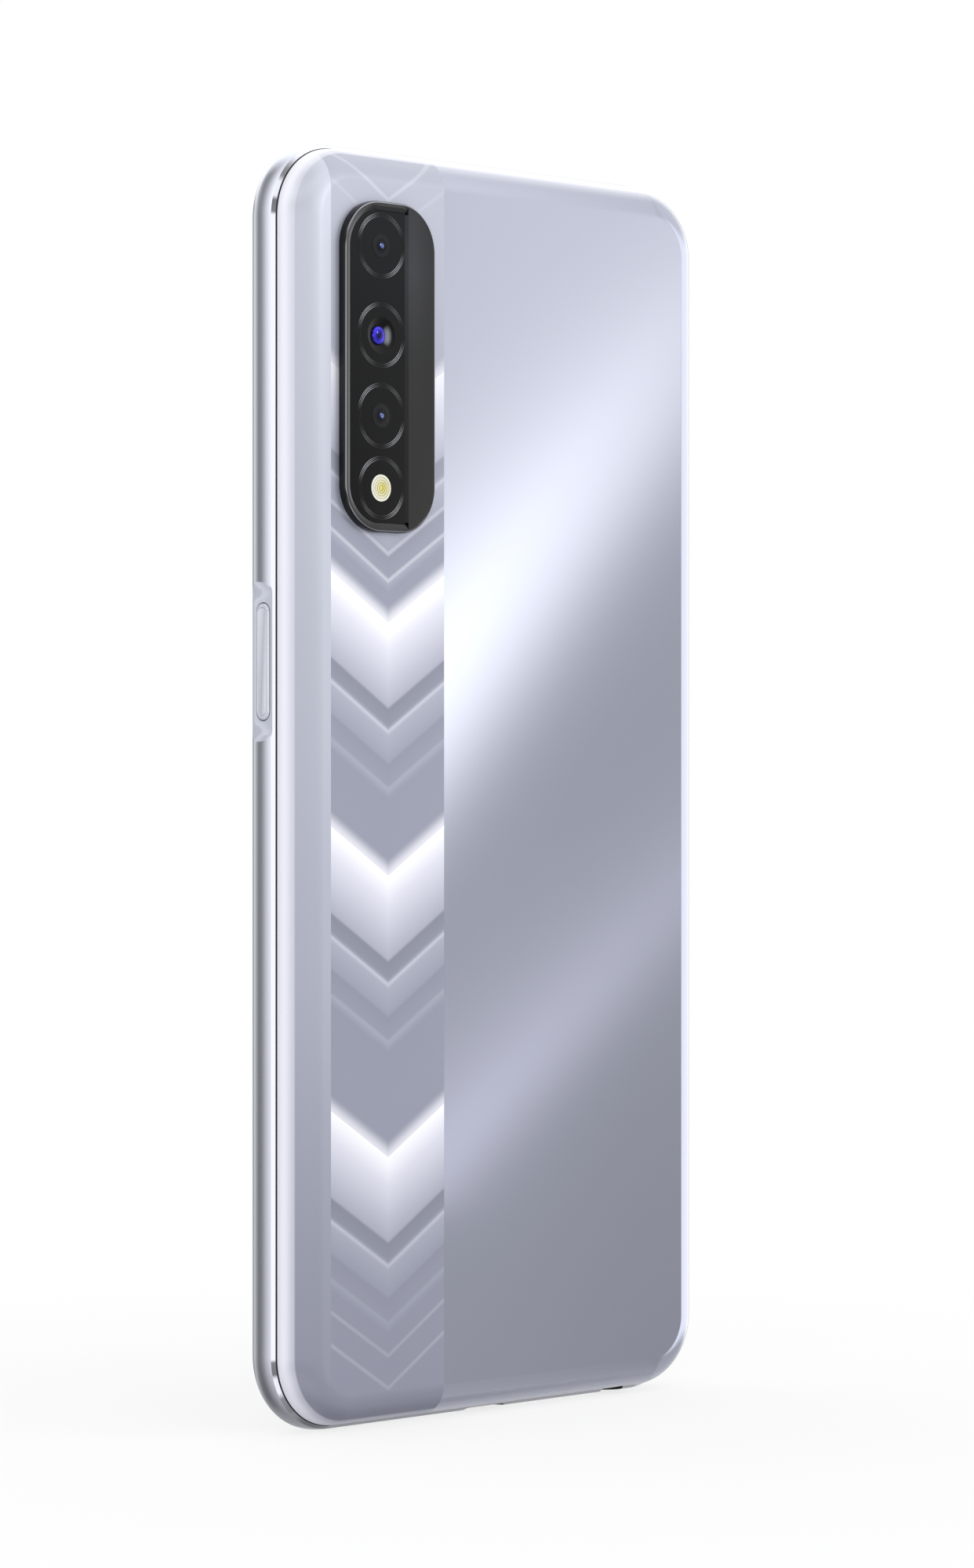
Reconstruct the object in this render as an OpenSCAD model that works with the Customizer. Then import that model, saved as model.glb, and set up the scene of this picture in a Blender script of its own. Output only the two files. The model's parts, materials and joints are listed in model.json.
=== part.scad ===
// Smartphone, upright: the screen faces -Y, the back faces +Y, Z is up.
// The origin lies on the bottom edge, in the middle of the width and of the body's thickness.
// Depth means the Y direction in all names below.

/* [Body] */
// Width across the side frame
body_w = 75.4; // [73:0.1:79]
// Height from the bottom edge to the top edge
body_h = 162.3; // [158:0.1:170]
// Thickness from the screen glass to the flat back, without the camera island
body_t = 9.1; // [8.9:0.1:10]
// Radius of the corners, seen from the front
corner_r = 10; // [9:0.5:12]
// Radius of the front edge, shared by the frame and the glass
front_edge_r = 2.2; // [1.8:0.1:2.6]
// How far the bulging side wall draws in at its polished edge
side_bulge = 0.28; // [0.15:0.01:0.4]
// Width and height of the polished edge beside the seam
edge_chamfer = 0.5; // [0.3:0.05:0.6]
// Open joint line between the frame and the back cover
seam_gap = 0.1; // [0.05:0.01:0.2]

/* [Shells] */
// Thickness of the frame's side wall
frame_wall = 2.3; // [2.1:0.1:2.5]
// Width of the frame's rim in front of the glass edge
frame_rim = 0.85; // [0.6:0.05:1.1]
// How far the glass shelf reaches in from the outside
shelf_reach = 3.2; // [3:0.1:3.6]
// Wall of the back cover
cover_wall = 0.9; // [0.7:0.1:1.1]
// Thickness of the cover's inner lip
lip_t = 0.7; // [0.5:0.1:0.8]
// Depth of the lip below the seam
lip_depth = 0.8; // [0.6:0.1:0.9]
// Length of a snap hook on the lip
hook_l = 5; // [3:0.5:8]
// How far a snap hook reaches into the frame
hook_reach = 0.3; // [0.2:0.05:0.4]

/* [Screen] */
// Thickness of the cover glass
glass_t = 0.7; // [0.5:0.05:0.8]
// Thickness of the tape under the glass
tape_t = 0.1; // [0.05:0.01:0.15]
// Thickness of the display cell
cell_t = 0.6; // [0.5:0.05:0.7]
// Thickness of the backlight unit
backlight_t = 0.65; // [0.5:0.05:0.7]
// Dark border of the glass under the display
chin = 8; // [7.9:0.1:9]
// Dark border of the glass over the display
forehead = 3.6; // [3.4:0.1:5]
// Radius of the camera hole in the display
punch_r = 2.1; // [1.9:0.1:2.4]
// Length of the earpiece slot
earpiece_slot_l = 12; // [8:0.5:14]
// Height of the earpiece slot
earpiece_slot_h = 0.9; // [0.7:0.1:1]

/* [Inner structure] */
// Thickness of the chassis plate
plate_t = 0.5; // [0.4:0.05:0.6]
// Height of the ribs at the ends of the battery bay
bay_rib_h = 2.6; // [1.5:0.1:2.8]
// Thickness of the bay ribs
bay_rib_t = 0.8; // [0.6:0.1:1]
// Outer radius of a screw boss
boss_r = 1.6; // [1.4:0.1:1.9]
// Height of the screw bosses, which carry the boards
boss_h = 1.7; // [1.6:0.05:1.9]
// Shank radius of the screws
screw_r = 0.7; // [0.6:0.05:0.8]
// Head radius of the screws
screw_head_r = 1.3; // [1.1:0.1:1.5]
// Height of the screw heads
screw_head_h = 0.45; // [0.3:0.05:0.5]

/* [Camera island] */
// Width of the island
island_w = 15.8; // [15:0.1:17.5]
// Height of the island
island_h = 41.7; // [40:0.1:44]
// Corner radius of the island
island_r = 6; // [5:0.25:7]
// How far the island stands out from the back
island_bump = 1.15; // [0.9:0.05:1.5]
// Distance from the frame's side to the island
island_inset = 7.55; // [6.5:0.05:9]
// Distance from the top edge to the island
island_drop = 7.4; // [6.5:0.1:9]
// Radius of the island's outer edge
island_edge_r = 0.35; // [0.2:0.05:0.5]
// Width of the sloping land around the window
land_w = 1.15; // [1:0.05:1.4]
// Width of the solid strip beside the window
strip_w = 4.85; // [4.5:0.05:5.2]
// How deep the window lies below the island's top
window_sink = 0.35; // [0.25:0.05:0.5]
// Thickness of the window glass
window_t = 0.7; // [0.5:0.05:0.8]
// Distance from the island's middle to the lens axis
lens_shift = 1.4; // [1.2:0.05:1.6]
// Barrel radius of the main camera
main_barrel_r = 3.2; // [2.9:0.1:3.3]
// Barrel radius of the two small cameras
small_barrel_r = 2.5; // [2.2:0.1:3]
// Side of the main camera's housing
main_camera_w = 10.4; // [9.5:0.1:10.8]
// Side of the small cameras' housings
small_camera_w = 7; // [6.5:0.1:7.4]
// Radius of the main camera's mouth
main_mouth_r = 1.7; // [1.4:0.05:1.9]
// Radius of the small cameras' mouths
small_mouth_r = 0.9; // [0.7:0.05:1.2]
// Distance from the island's top end to the top camera's axis
top_camera_inset = 5.6; // [5.25:0.05:5.8]
// Main camera's height over the island's middle
main_camera_rise = 4; // [3.8:0.05:4.2]
// Low camera's distance below the island's middle
low_camera_drop = 6.15; // [5.9:0.05:6.5]
// Distance from the island's lower end to the flash's axis
flash_inset = 5.6; // [5.2:0.05:6]
// Radius of the flash lens
flash_r = 1.7; // [1.5:0.05:1.9]

/* [Power key] */
// Height of the power key's middle below the top edge
power_drop = 65.5; // [62:0.5:70]
// Length of the power key
power_l = 14.6; // [13:0.1:16]
// Width of the power key
power_w = 2.3; // [2.1:0.05:2.4]
// Depth of the flat cut in which the power key lies
flat_depth = 0.4; // [0.33:0.01:0.5]
// Length of the flat cut, without its scooped ends
flat_l = 17; // [16.5:0.1:18.5]
// Radius of the scooped ends
scoop_r = 3; // [2:0.5:4]
// How far the power key stands out of the flat
power_proud = 0.25; // [0.15:0.05:0.35]
// Length of the fingerprint sensor
sensor_l = 13.4; // [12:0.1:13.8]
// Width of the fingerprint sensor
sensor_w = 1.5; // [1.2:0.1:1.7]

/* [Volume keys] */
// Middle of the two volume keys below the top edge
volume_drop = 52.3; // [50:0.1:56]
// Distance between the middles of the volume keys
volume_pitch = 13; // [12:0.5:14]
// Length of a volume key
volume_l = 10; // [9:0.1:10.6]
// Width of the volume keys
volume_w = 2.2; // [2:0.05:2.4]
// How far a volume key stands out of the frame
volume_proud = 0.4; // [0.2:0.05:0.6]

/* [Key fit] */
// Travel of all keys
key_travel = 0.25; // [0.15:0.01:0.3]
// Gap around a key's cap in its pocket
key_gap = 0.12; // [0.08:0.01:0.18]
// Thickness of a key's cap inside its pocket
key_cap_t = 1.2; // [1:0.05:1.3]
// Width of the stem behind a key
stem_w = 1.2; // [1:0.05:1.3]
// Thickness of the steel switch brackets
bracket_t = 0.3; // [0.2:0.05:0.3]
// Height of a switch dome
dome_h = 0.3; // [0.2:0.05:0.3]

/* [Card tray] */
// Height of the tray's middle below the top edge
tray_drop = 25.3; // [24:0.1:28]
// Length of the tray
tray_l = 40; // [38:0.5:42]
// Width of the tray
tray_w = 12.4; // [12.2:0.1:12.8]
// Thickness of the tray
tray_t = 1.1; // [0.9:0.05:1.15]
// Length of the tray's face plate
face_l = 16; // [15.8:0.1:17]
// Width of the tray's face plate
face_w = 2.2; // [2.1:0.05:2.3]
// Thickness of the tray's face plate
face_t = 1.1; // [0.9:0.05:1.2]
// Gap around the face plate
face_gap = 0.08; // [0.05:0.01:0.12]
// Radius of the ejector pin hole
pin_hole_r = 0.45; // [0.4:0.01:0.5]

/* [Boards and battery] */
// Thickness of the circuit boards
board_t = 0.8; // [0.6:0.05:0.9]
// Height of the main board
board_h = 52.5; // [51:0.1:53]
// Height of the bottom board's top edge
low_board_z = 18.6; // [17.8:0.1:19]
// Thickness of the battery
battery_t = 4.9; // [4:0.1:5]
// Gap between the battery and the inside of the cover's lip
battery_side_gap = 1.6; // [1.5:0.1:3]
// Height of the shield cans
can_h = 1.6; // [1.2:0.1:1.7]
// Height of the board connectors
connector_h = 0.9; // [0.7:0.05:1]
// Thickness of the board covers
board_cover_t = 0.6; // [0.5:0.05:0.8]
// Thickness of the flat cables
flex_t = 0.15; // [0.12:0.01:0.2]

/* [Bottom edge] */
// Width of the charging connector's shell
port_w = 8.94; // [8.8:0.02:9.1]
// Thickness of the charging connector's shell
port_t = 3.2; // [3.1:0.02:3.3]
// Sheet thickness of the connector's shell
port_sheet = 0.3; // [0.25:0.01:0.35]
// Length of the charging connector
port_l = 7.35; // [7:0.05:8]
// Gap between the connector and the frame's slot
port_gap = 0.1; // [0.06:0.01:0.15]
// Bore radius of the headphone jack
jack_r = 1.8; // [1.76:0.01:1.85]
// Length of the headphone jack's body
jack_l = 13; // [12.5:0.1:14]
// Distance from the frame's side to the jack's axis
jack_inset = 13.7; // [13:0.1:15]
// Radius of a speaker hole
grille_r = 0.6; // [0.4:0.05:0.7]
// Number of speaker holes
grille_count = 6; // [4:1:7]
// Distance between speaker holes
grille_pitch = 2.3; // [1.8:0.1:2.4]
// Radius of the microphone holes
mic_hole_r = 0.5; // [0.3:0.05:0.6]
// Radius of the vibration motor
motor_r = 4; // [3.5:0.1:4.4]
// Thickness of the vibration motor
motor_t = 2.6; // [2:0.1:2.7]

/* [Hidden] */
$fn = 96;
fit = 0.1;              // gap between fixed neighbours
eps = 0.5;              // overrun of a cut past a surface
side_x = body_w / 2;
mid_z = body_h / 2;
front_y = -body_t / 2;
back_y = body_t / 2;

// Depths from the screen to the chassis plate
glass_back = front_y + glass_t;
shelf_y = glass_back + tape_t;
cell_back = glass_back + cell_t;
backlight_back = cell_back + backlight_t;
plate_front = backlight_back + fit;
plate_back = plate_front + plate_t;

// Side profile: front arc, bulge, polished edge, seam, cover arc
rim_y = front_y + front_edge_r;
crease_y = -0.1;
seam_y = crease_y + edge_chamfer;
// the bulge's radius, to a hundredth of a millimetre
bulge_r = round(50 * (pow(crease_y - rim_y, 2) + pow(side_bulge, 2)) / side_bulge) / 100;
seam_inset = side_bulge + edge_chamfer;
cover_r = back_y - seam_y;
cover_in = back_y - cover_wall;
lip_out = frame_wall + fit;
lip_in = lip_out + lip_t;
lip_front = seam_y - lip_depth;
lip_back = seam_y + 0.9;
inner_x = side_x - frame_wall;
lip_x = side_x - lip_in;
lip_top = body_h - lip_in;

// Boards stand on the bosses of the chassis plate
board_front = plate_back + boss_h;
board_back = board_front + board_t;
board_inset = lip_in + 4 * fit;
board_z = body_h - board_inset - board_h;
can_back = board_back + can_h;
connector_back = board_back + connector_h;
cover_plate_y = can_back + 2 * fit;
cover_plate_back = cover_plate_y + board_cover_t;

// Battery bay between the two boards
battery_y = plate_back + fit;
battery_back = battery_y + battery_t;
battery_x = lip_x - battery_side_gap;
bay_low = low_board_z + 1;
bay_high = board_z - 0.6;
battery_low = bay_low + bay_rib_t + 3 * fit;
battery_high = bay_high - bay_rib_t - 3 * fit;

// Camera island and what lies under it
island_x = side_x - island_inset - island_w / 2;
island_z = body_h - island_drop - island_h / 2;
island_back = back_y + island_bump;
window_x0 = island_x - island_w / 2 + strip_w;
window_x1 = island_x + island_w / 2 - land_w;
window_z0 = island_z - island_h / 2 + land_w;
window_z1 = island_z + island_h / 2 - land_w;
window_back = island_back - window_sink;
window_front = window_back - window_t;
window_r = island_r - land_w;
bezel_step = 0.8;
bezel_front = cover_in - 0.4;
lens_x = island_x + lens_shift;
top_camera_z = island_z + island_h / 2 - top_camera_inset;
main_camera_z = island_z + main_camera_rise;
low_camera_z = island_z - low_camera_drop;
flash_z = island_z - island_h / 2 + flash_inset;
barrel_back = window_front - 2 * fit;

// Keys: caps lie in pockets of the frame, stems pass through its wall
key_y = rim_y + 0.7;
stem_y = (plate_back + lip_front) / 2;
power_z = body_h - power_drop;
volume_z = body_h - volume_drop;
power_face = side_x - flat_depth + power_proud;
volume_face = side_x + volume_proud;
pocket_gap = key_travel + 0.15;
stem_in = inner_x - 1.1;
hook_gap = fit;
switch_x = stem_in - key_travel - 0.05;
bracket_x = switch_x - dome_h - bracket_t;
bracket_y0 = plate_back + 0.05;
bracket_y1 = lip_front - fit;

// Card tray, its reader and the ejector rod beside it
tray_z = body_h - tray_drop;
tray_gap = 0.15;
tray_y0 = plate_back + tray_gap;
tray_y1 = tray_y0 + tray_t;
tray_mid_y = (tray_y0 + tray_y1) / 2;
face_y = rim_y + 0.85;
seal_t = 0.3;
seal_l = 0.8;
pin_z = tray_z + face_l / 2 - 2 * pin_hole_r;
tray_end = -side_x + tray_l;
reader_low = tray_z - tray_w / 2 - tray_gap - 1;
reader_x0 = -lip_x + 4 * fit;
reader_x1 = tray_end + 2.2;

// Flat cables: the X places of their two edges
main_flex_x = [-14, -6.7];
display_flex_x = [-6, 5];
battery_flex_x = [16, 28];

// Bottom edge
port_y = rim_y + 0.8;
port_z = 0.5;
gasket_rim = 0.35;
jack_x = -side_x + jack_inset;
jack_wall = 0.15;
jack_y = plate_front + 0.02 + jack_wall + jack_r;
jack_z = frame_wall + 2 * fit;
jack_hole_r = jack_r + jack_wall + 2 * fit;
grille_y = rim_y + 1.05;
speaker_x0 = display_flex_x[1] + 6;
grille_x0 = speaker_x0 + 3.5;
speaker_z = frame_wall + 0.6;
mic_x = -11.5;
earpiece_w = 12;
top_mic_x = earpiece_w / 2 + 10;
top_mic_y = rim_y + 1.45;
motor_x = (jack_x + display_flex_x[0]) / 2 + 1.4;
motor_z = 9.6;

// Front camera and earpiece
front_camera_x = -side_x + 7.4;
front_camera_z = body_h - 9.4;
front_camera_w = 6;
earpiece_z = body_h - 2.3;
earpiece_h = 6;
earpiece_top = body_h - board_inset;
sensor_x0 = earpiece_slot_l / 2 + 3;
sensor_x1 = sensor_x0 + 3.4;
sensor_z0 = body_h - shelf_reach;
sensor_z1 = body_h - frame_rim - 0.9;

// Screws: [x, z] of the board cover's and of the bottom cover's
top_screws = [[-lip_x + 3.4, board_z + 3.4], [-lip_x + 3.4, reader_low - boss_r - 3.25],
              [-lip_x + 12.5, lip_top - 3.2], [earpiece_w / 2 + 4.25, lip_top - 3.2],
              [island_x - 11.8, board_z + 3.4], [island_x - 11.8, board_z + 19]];
low_screws = [[-lip_x + 3.6, low_board_z - 3.2], [jack_x + 4.7, low_board_z - 2.6],
              [display_flex_x[1] + 2.6, low_board_z - 2.6]];

// Shield cans: one row of the list is [x0, x1, z0, z1]
main_cans = [[-lip_x + 6.5, island_x - 15, board_z + 7, board_z + 23],
             [-lip_x + 2, -9, board_z + 25.5, board_z + 41],
             [-7, island_x - 9.8, board_z + 25.5, board_z + 42]];

high_connector_z = board_z + 4.6;
low_connector_z = 13.5;
connector_w = 2.6;

// Board connectors: one row of the list is [x0, x1, z0, z1]
connectors = [[main_flex_x[0], main_flex_x[1], high_connector_z - connector_w, high_connector_z],
              [battery_flex_x[0], battery_flex_x[1], high_connector_z - connector_w,
               high_connector_z],
              [main_flex_x[0], main_flex_x[1], low_connector_z + 3, low_connector_z + 4.4],
              [display_flex_x[0], display_flex_x[1], low_connector_z - 2, low_connector_z]];

// ---------- drawing helpers ----------

// A 2D outline in X and Z, given thickness between two depths
module at_depth(y0, y1) {
    translate([0, y1, 0]) rotate([90, 0, 0]) linear_extrude(y1 - y0) children();
}

// A 2D outline in Y and Z, given length between two X places
module across(x0, x1) {
    translate([x0, 0, 0]) rotate([90, 0, 90]) linear_extrude(x1 - x0) children();
}

// A 2D outline in X and Y, given height between two Z places
module upward(z0, z1) {
    translate([0, 0, z0]) linear_extrude(z1 - z0) children();
}

// Rectangle between two corners
module span(a0, a1, b0, b1) {
    translate([a0, b0]) square([a1 - a0, b1 - b0]);
}

// Rectangle with true round corners, about its own middle
module rounded(w, h, r) {
    square([w - 2 * r, h], center = true);
    square([w, h - 2 * r], center = true);
    for (sx = [-1, 1], sz = [-1, 1])
        translate([sx * (w / 2 - r), sz * (h / 2 - r)]) circle(r);
}

// Slot shape with round ends, long in its second direction
module slot(w, l) {
    square([w, l - w], center = true);
    for (side = [-1, 1]) translate([0, side * (l - w) / 2]) circle(w / 2);
}

// The body's outline in X and Z, drawn in by an inset
module inner_outline(inset) {
    translate([0, mid_z])
        rounded(body_w - 2 * inset, body_h - 2 * inset, corner_r - inset);
}

// Sweeps a profile round a rounded rectangle in X and Z about the origin.
// The profile's x runs outwards from the centre of the corner arc, its y is depth.
module band(w, h, r) {
    for (turn = [0, 1, 2, 3]) {
        along = turn % 2 == 0 ? h : w;
        away = turn % 2 == 0 ? w : h;
        rotate([0, 90 * turn, 0]) {
            translate([away / 2 - r, 0, r - along / 2]) linear_extrude(along - 2 * r) children();
            translate([away / 2 - r, 0, r - along / 2])
                rotate([-90, 0, 0]) rotate_extrude(angle = 90) children();
        }
    }
}

// A rounded slab between two depths whose back edge is rounded
module soft_slab(w, h, r, y0, y1, edge_r) {
    band(w, h, r) {
        span(0, r, y0, y1 - edge_r);
        span(0, r - edge_r, y0, y1);
        intersection() {
            translate([r - edge_r, y1 - edge_r]) circle(edge_r);
            span(r - edge_r, r, y1 - edge_r, y1);
        }
    }
    at_depth(y0, y1) square([w - 2 * r + eps, h - 2 * r + eps], center = true);
}

// ---------- outer shells ----------

module frame_profile() {
    wall_x = corner_r - shelf_reach;
    difference() {
        union() {
            intersection() {
                translate([corner_r - front_edge_r, rim_y]) circle(front_edge_r);
                span(wall_x, corner_r, front_y, rim_y);
            }
            span(wall_x, corner_r - front_edge_r, front_y, rim_y);
            intersection() {
                translate([corner_r - bulge_r, rim_y]) circle(bulge_r, $fn = 360);
                span(wall_x, corner_r, rim_y, seam_y);
            }
        }
        // the polished edge, a flat at 45 degrees
        polygon([[corner_r - side_bulge + eps, crease_y - eps],
                 [corner_r - side_bulge + eps, seam_y + eps],
                 [corner_r - seam_inset - eps, seam_y + eps]]);
        span(wall_x - eps, corner_r - frame_rim, front_y - eps, shelf_y);
        span(wall_x - eps, corner_r - frame_wall, plate_front, seam_y + eps);
    }
}

// Key pocket and stem passage through the +X wall
module key_cut(z, l, w, face_x) {
    translate([0, key_y, z])
        across(face_x - key_cap_t - pocket_gap, side_x + eps)
            slot(w + 2 * key_gap, l + 2 * key_gap);
    translate([0, stem_y, z])
        across(inner_x - eps, side_x - eps) square([stem_w + 0.2, l - 2.6], center = true);
}

module switch_ribs(z, half) {
    for (side = [-1, 1])
        translate([0, 0, z + side * (half + 0.6 + fit)])
            across(bracket_x, inner_x + eps) span(plate_back, bracket_y1, -0.6, 0.6);
}

// The flat with scooped ends in which the power key lies
module power_flat() {
    translate([side_x - flat_depth + scoop_r, 0, power_z])
        at_depth(front_y - eps, seam_y + eps)
            slot(2 * scoop_r, flat_l + 2 * scoop_r);
}

module tray_cut() {
    translate([0, face_y, tray_z])
        across(-side_x - eps, -side_x + face_t + face_gap)
            slot(face_w + 2 * face_gap, face_l + 2 * face_gap);
    translate([0, tray_mid_y, tray_z])
        across(-side_x, -inner_x + eps)
            rounded(tray_t + 2 * seal_t + fit, tray_w + 2 * seal_t + fit, 0.6);
    translate([0, tray_mid_y, pin_z])
        across(-side_x, -inner_x + eps) circle(pin_hole_r + 0.05, $fn = 32);
}

module port_slot(gap) {
    translate([0, port_y]) rotate(90) slot(port_t + 2 * gap, port_w + 2 * gap);
}

module side_frame() {
    color([0.72, 0.74, 0.8]) difference() {
        union() {
            translate([0, 0, mid_z]) band(body_w, body_h, corner_r) frame_profile();
            switch_ribs(power_z, power_l / 2 + 1.4);
            mirror([1, 0, 0]) switch_ribs(volume_z, (volume_pitch + volume_l) / 2 + 1.4);
        }
        power_flat();
        key_cut(power_z, power_l, power_w, power_face);
        for (side = [-1, 1])
            mirror([1, 0, 0])
                key_cut(volume_z + side * volume_pitch / 2, volume_l, volume_w, side_x - 0.1);
        tray_cut();
        upward(-eps, frame_wall + eps) port_slot(port_gap);
        upward(frame_wall, shelf_reach + eps) port_slot(gasket_rim + 0.05);
        translate([jack_x, jack_y, 0]) upward(-eps, frame_wall + eps) circle(jack_hole_r);
        for (i = [0:grille_count - 1])
            translate([grille_x0 + i * grille_pitch, grille_y, 0])
                upward(-eps, frame_wall + eps) circle(grille_r, $fn = 32);
        translate([mic_x, grille_y, 0])
            upward(-eps, frame_wall + eps) circle(mic_hole_r, $fn = 32);
        translate([top_mic_x, top_mic_y, 0])
            upward(body_h - frame_wall - eps, body_h + eps) circle(mic_hole_r, $fn = 32);
        translate([0, 0, earpiece_z])
            at_depth(front_y, plate_back)
                square([earpiece_slot_l, earpiece_slot_h], center = true);
        sensor_pocket();
        cover_hooks(fit);
    }
}

// Snap hooks on the cover's lip; with a gap they are the frame's pockets
module cover_hooks(gap) {
    hook_y0 = lip_front + 0.15;
    reach = hook_reach + gap;
    for (side = [-1, 1]) {
        for (z = [28, 62, body_h - 40, body_h - 18])
            translate([side * (side_x - lip_out), 0, z])
                at_depth(hook_y0 - gap, hook_y0 + 0.4 + gap)
                    square([2 * reach, hook_l + 2 * gap], center = true);
        translate([side * 24, 0, body_h - lip_out])
            at_depth(hook_y0 - gap, hook_y0 + 0.4 + gap)
                square([hook_l + 2 * gap, 2 * reach], center = true);
    }
}

module cover_solid(inset, y0) {
    seam_x = corner_r - seam_inset;
    translate([0, 0, mid_z]) {
        band(body_w, body_h, corner_r) {
            intersection() {
                translate([seam_x - cover_r, seam_y]) circle(cover_r - inset, $fn = 180);
                span(seam_x - cover_r, seam_x, y0, back_y);
            }
            span(0, seam_x - cover_r, y0, back_y - inset);
        }
        at_depth(y0, back_y - inset)
            square([body_w - 2 * corner_r + eps, body_h - 2 * corner_r + eps], center = true);
    }
}

module back_cover() {
    color([0.76, 0.78, 0.84]) difference() {
        union() {
            difference() {
                cover_solid(0, seam_y + seam_gap);
                cover_solid(cover_wall, seam_y);
            }
            translate([0, 0, mid_z]) band(body_w, body_h, corner_r) {
                span(corner_r - lip_in, corner_r - lip_out, lip_front, lip_back);
                span(corner_r - lip_in, corner_r - seam_inset - 0.5, seam_y + seam_gap, lip_back);
            }
            cover_hooks(0);
        }
        translate([island_x, 0, island_z])
            at_depth(cover_in - eps, back_y + eps)
                rounded(island_w - 2 * bezel_step + 2 * fit, island_h - 2 * bezel_step + 2 * fit,
                        island_r - bezel_step + fit);
        at_depth(lip_front - eps, lip_back + eps) {
            span(-port_w / 2 - 1.6, port_w / 2 + 1.6, frame_wall, lip_in + eps);
            span(jack_x - 4, jack_x + 4, frame_wall, lip_in + eps);
        }
        translate([jack_x, jack_y, 0]) upward(-eps, lip_in) circle(jack_hole_r);
    }
}

module chassis_plate() {
    color([0.55, 0.56, 0.58]) difference() {
        union() {
            at_depth(plate_front, plate_back) difference() {
                inner_outline(frame_wall + 0.05);
                span(-port_w / 2 - 0.5, port_w / 2 + 0.5, 0, port_z + port_l + 0.6);
                span(jack_x - 3.4, jack_x + 3.4, 0, jack_z + jack_l + 0.4);
                span(display_flex_x[0] - 0.6, display_flex_x[1] + 0.6, 10, bay_low - 0.2);
                translate([front_camera_x, front_camera_z])
                    square(front_camera_w + 0.5, center = true);
                span(-earpiece_slot_l / 2 - fit, sensor_x1 + 2 * fit, body_h - shelf_reach - 0.2,
                     body_h);
            }
            at_depth(plate_back, plate_back + bay_rib_h) {
                span(-battery_x, battery_x, bay_low, bay_low + bay_rib_t);
                span(-battery_x, battery_x, bay_high - bay_rib_t, bay_high);
            }
            at_depth(plate_back, board_front)
                for (p = concat(top_screws, low_screws)) translate(p) circle(boss_r);
        }
        at_depth(plate_back - 0.2, board_front + eps)
            for (p = concat(top_screws, low_screws)) translate(p) circle(screw_r + 0.05);
    }
}

// ---------- screen ----------

module display_glass() {
    edge_x = corner_r - frame_rim - 0.05;
    color([0.05, 0.05, 0.06]) difference() {
        translate([0, 0, mid_z]) {
            band(body_w, body_h, corner_r) {
                intersection() {
                    translate([corner_r - front_edge_r, rim_y]) circle(front_edge_r);
                    span(corner_r - front_edge_r, edge_x, front_y, glass_back);
                }
                span(0, corner_r - front_edge_r, front_y, glass_back);
            }
            at_depth(front_y, glass_back)
                square([body_w - 2 * corner_r + eps, body_h - 2 * corner_r + eps],
                       center = true);
        }
        translate([0, 0, earpiece_z])
            at_depth(front_y - eps, glass_back + eps)
                rotate(90) slot(earpiece_slot_h, earpiece_slot_l);
    }
}

module glass_tape() {
    color([0.1, 0.1, 0.1]) at_depth(glass_back, shelf_y) difference() {
        inner_outline(frame_rim + 0.2);
        inner_outline(shelf_reach - 0.2);
        span(-earpiece_slot_l / 2 - 0.5, sensor_x1 + 0.3, body_h - shelf_reach - eps, body_h);
    }
}

module display_outline(shrink) {
    inset = shelf_reach + 0.3 + shrink;
    intersection() {
        inner_outline(inset);
        span(-side_x, side_x, chin + shrink, body_h - forehead - shrink);
    }
}

module display_cell() {
    color([0.08, 0.09, 0.11]) at_depth(glass_back, cell_back) difference() {
        display_outline(0);
        translate([front_camera_x, front_camera_z]) circle(punch_r);
    }
}

module backlight_unit() {
    color([0.85, 0.86, 0.88]) at_depth(cell_back, backlight_back) difference() {
        display_outline(0.3);
        translate([front_camera_x, front_camera_z]) circle(punch_r + 0.2);
    }
}

// ---------- camera island ----------

module window_outline(shrink) {
    w = window_x1 - window_x0 - 2 * shrink;
    h = window_z1 - window_z0 - 2 * shrink;
    translate([(window_x0 + window_x1) / 2, (window_z0 + window_z1) / 2])
        intersection() {
            translate([-window_r, 0]) rounded(w + 2 * window_r, h, window_r - shrink);
            square([w, h], center = true);
        }
}

module camera_bezel() {
    color([0.07, 0.07, 0.08]) difference() {
        translate([island_x, 0, island_z]) {
            soft_slab(island_w, island_h, island_r, back_y, island_back, island_edge_r);
            at_depth(bezel_front, back_y)
                rounded(island_w - 2 * bezel_step, island_h - 2 * bezel_step,
                        island_r - bezel_step);
        }
        at_depth(window_front, island_back + eps) window_outline(0);
        at_depth(bezel_front - eps, island_back) window_outline(0.9);
        // the land slopes down to the window on its three free sides
        intersection() {
            translate([island_x, 0, island_z])
                band(island_w, island_h, island_r)
                    polygon([[island_r - land_w - fit, window_back],
                             [island_r - land_w, window_back],
                             [island_r - island_edge_r, island_back],
                             [island_r - island_edge_r, island_back + eps],
                             [island_r - land_w - fit, island_back + eps]]);
            at_depth(window_front, island_back + eps)
                span(window_x0, island_x + island_w, window_z0 - land_w, window_z1 + land_w);
        }
    }
}

module camera_window() {
    color([0.03, 0.03, 0.04]) at_depth(window_front, window_back) difference() {
        window_outline(0.05);
        translate([lens_x, flash_z]) circle(flash_r + 0.05);
    }
}

// A camera: square housing with cut corners below a round barrel with a sloping mouth
module camera_unit(z, side, y0, barrel_r, mouth_r) {
    shoulder = bezel_front - 0.3;
    color([0.15, 0.15, 0.17]) difference() {
        translate([lens_x, 0, z]) {
            at_depth(y0, shoulder) rounded(side, side, 0.6);
            at_depth(shoulder, barrel_back) circle(barrel_r);
        }
        translate([lens_x, barrel_back, z]) rotate([90, 0, 0]) {
            translate([0, 0, -fit]) cylinder(h = 0.5 + fit, r1 = barrel_r - 0.3, r2 = mouth_r);
            cylinder(h = 1.6, r = mouth_r);
        }
    }
}

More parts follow.
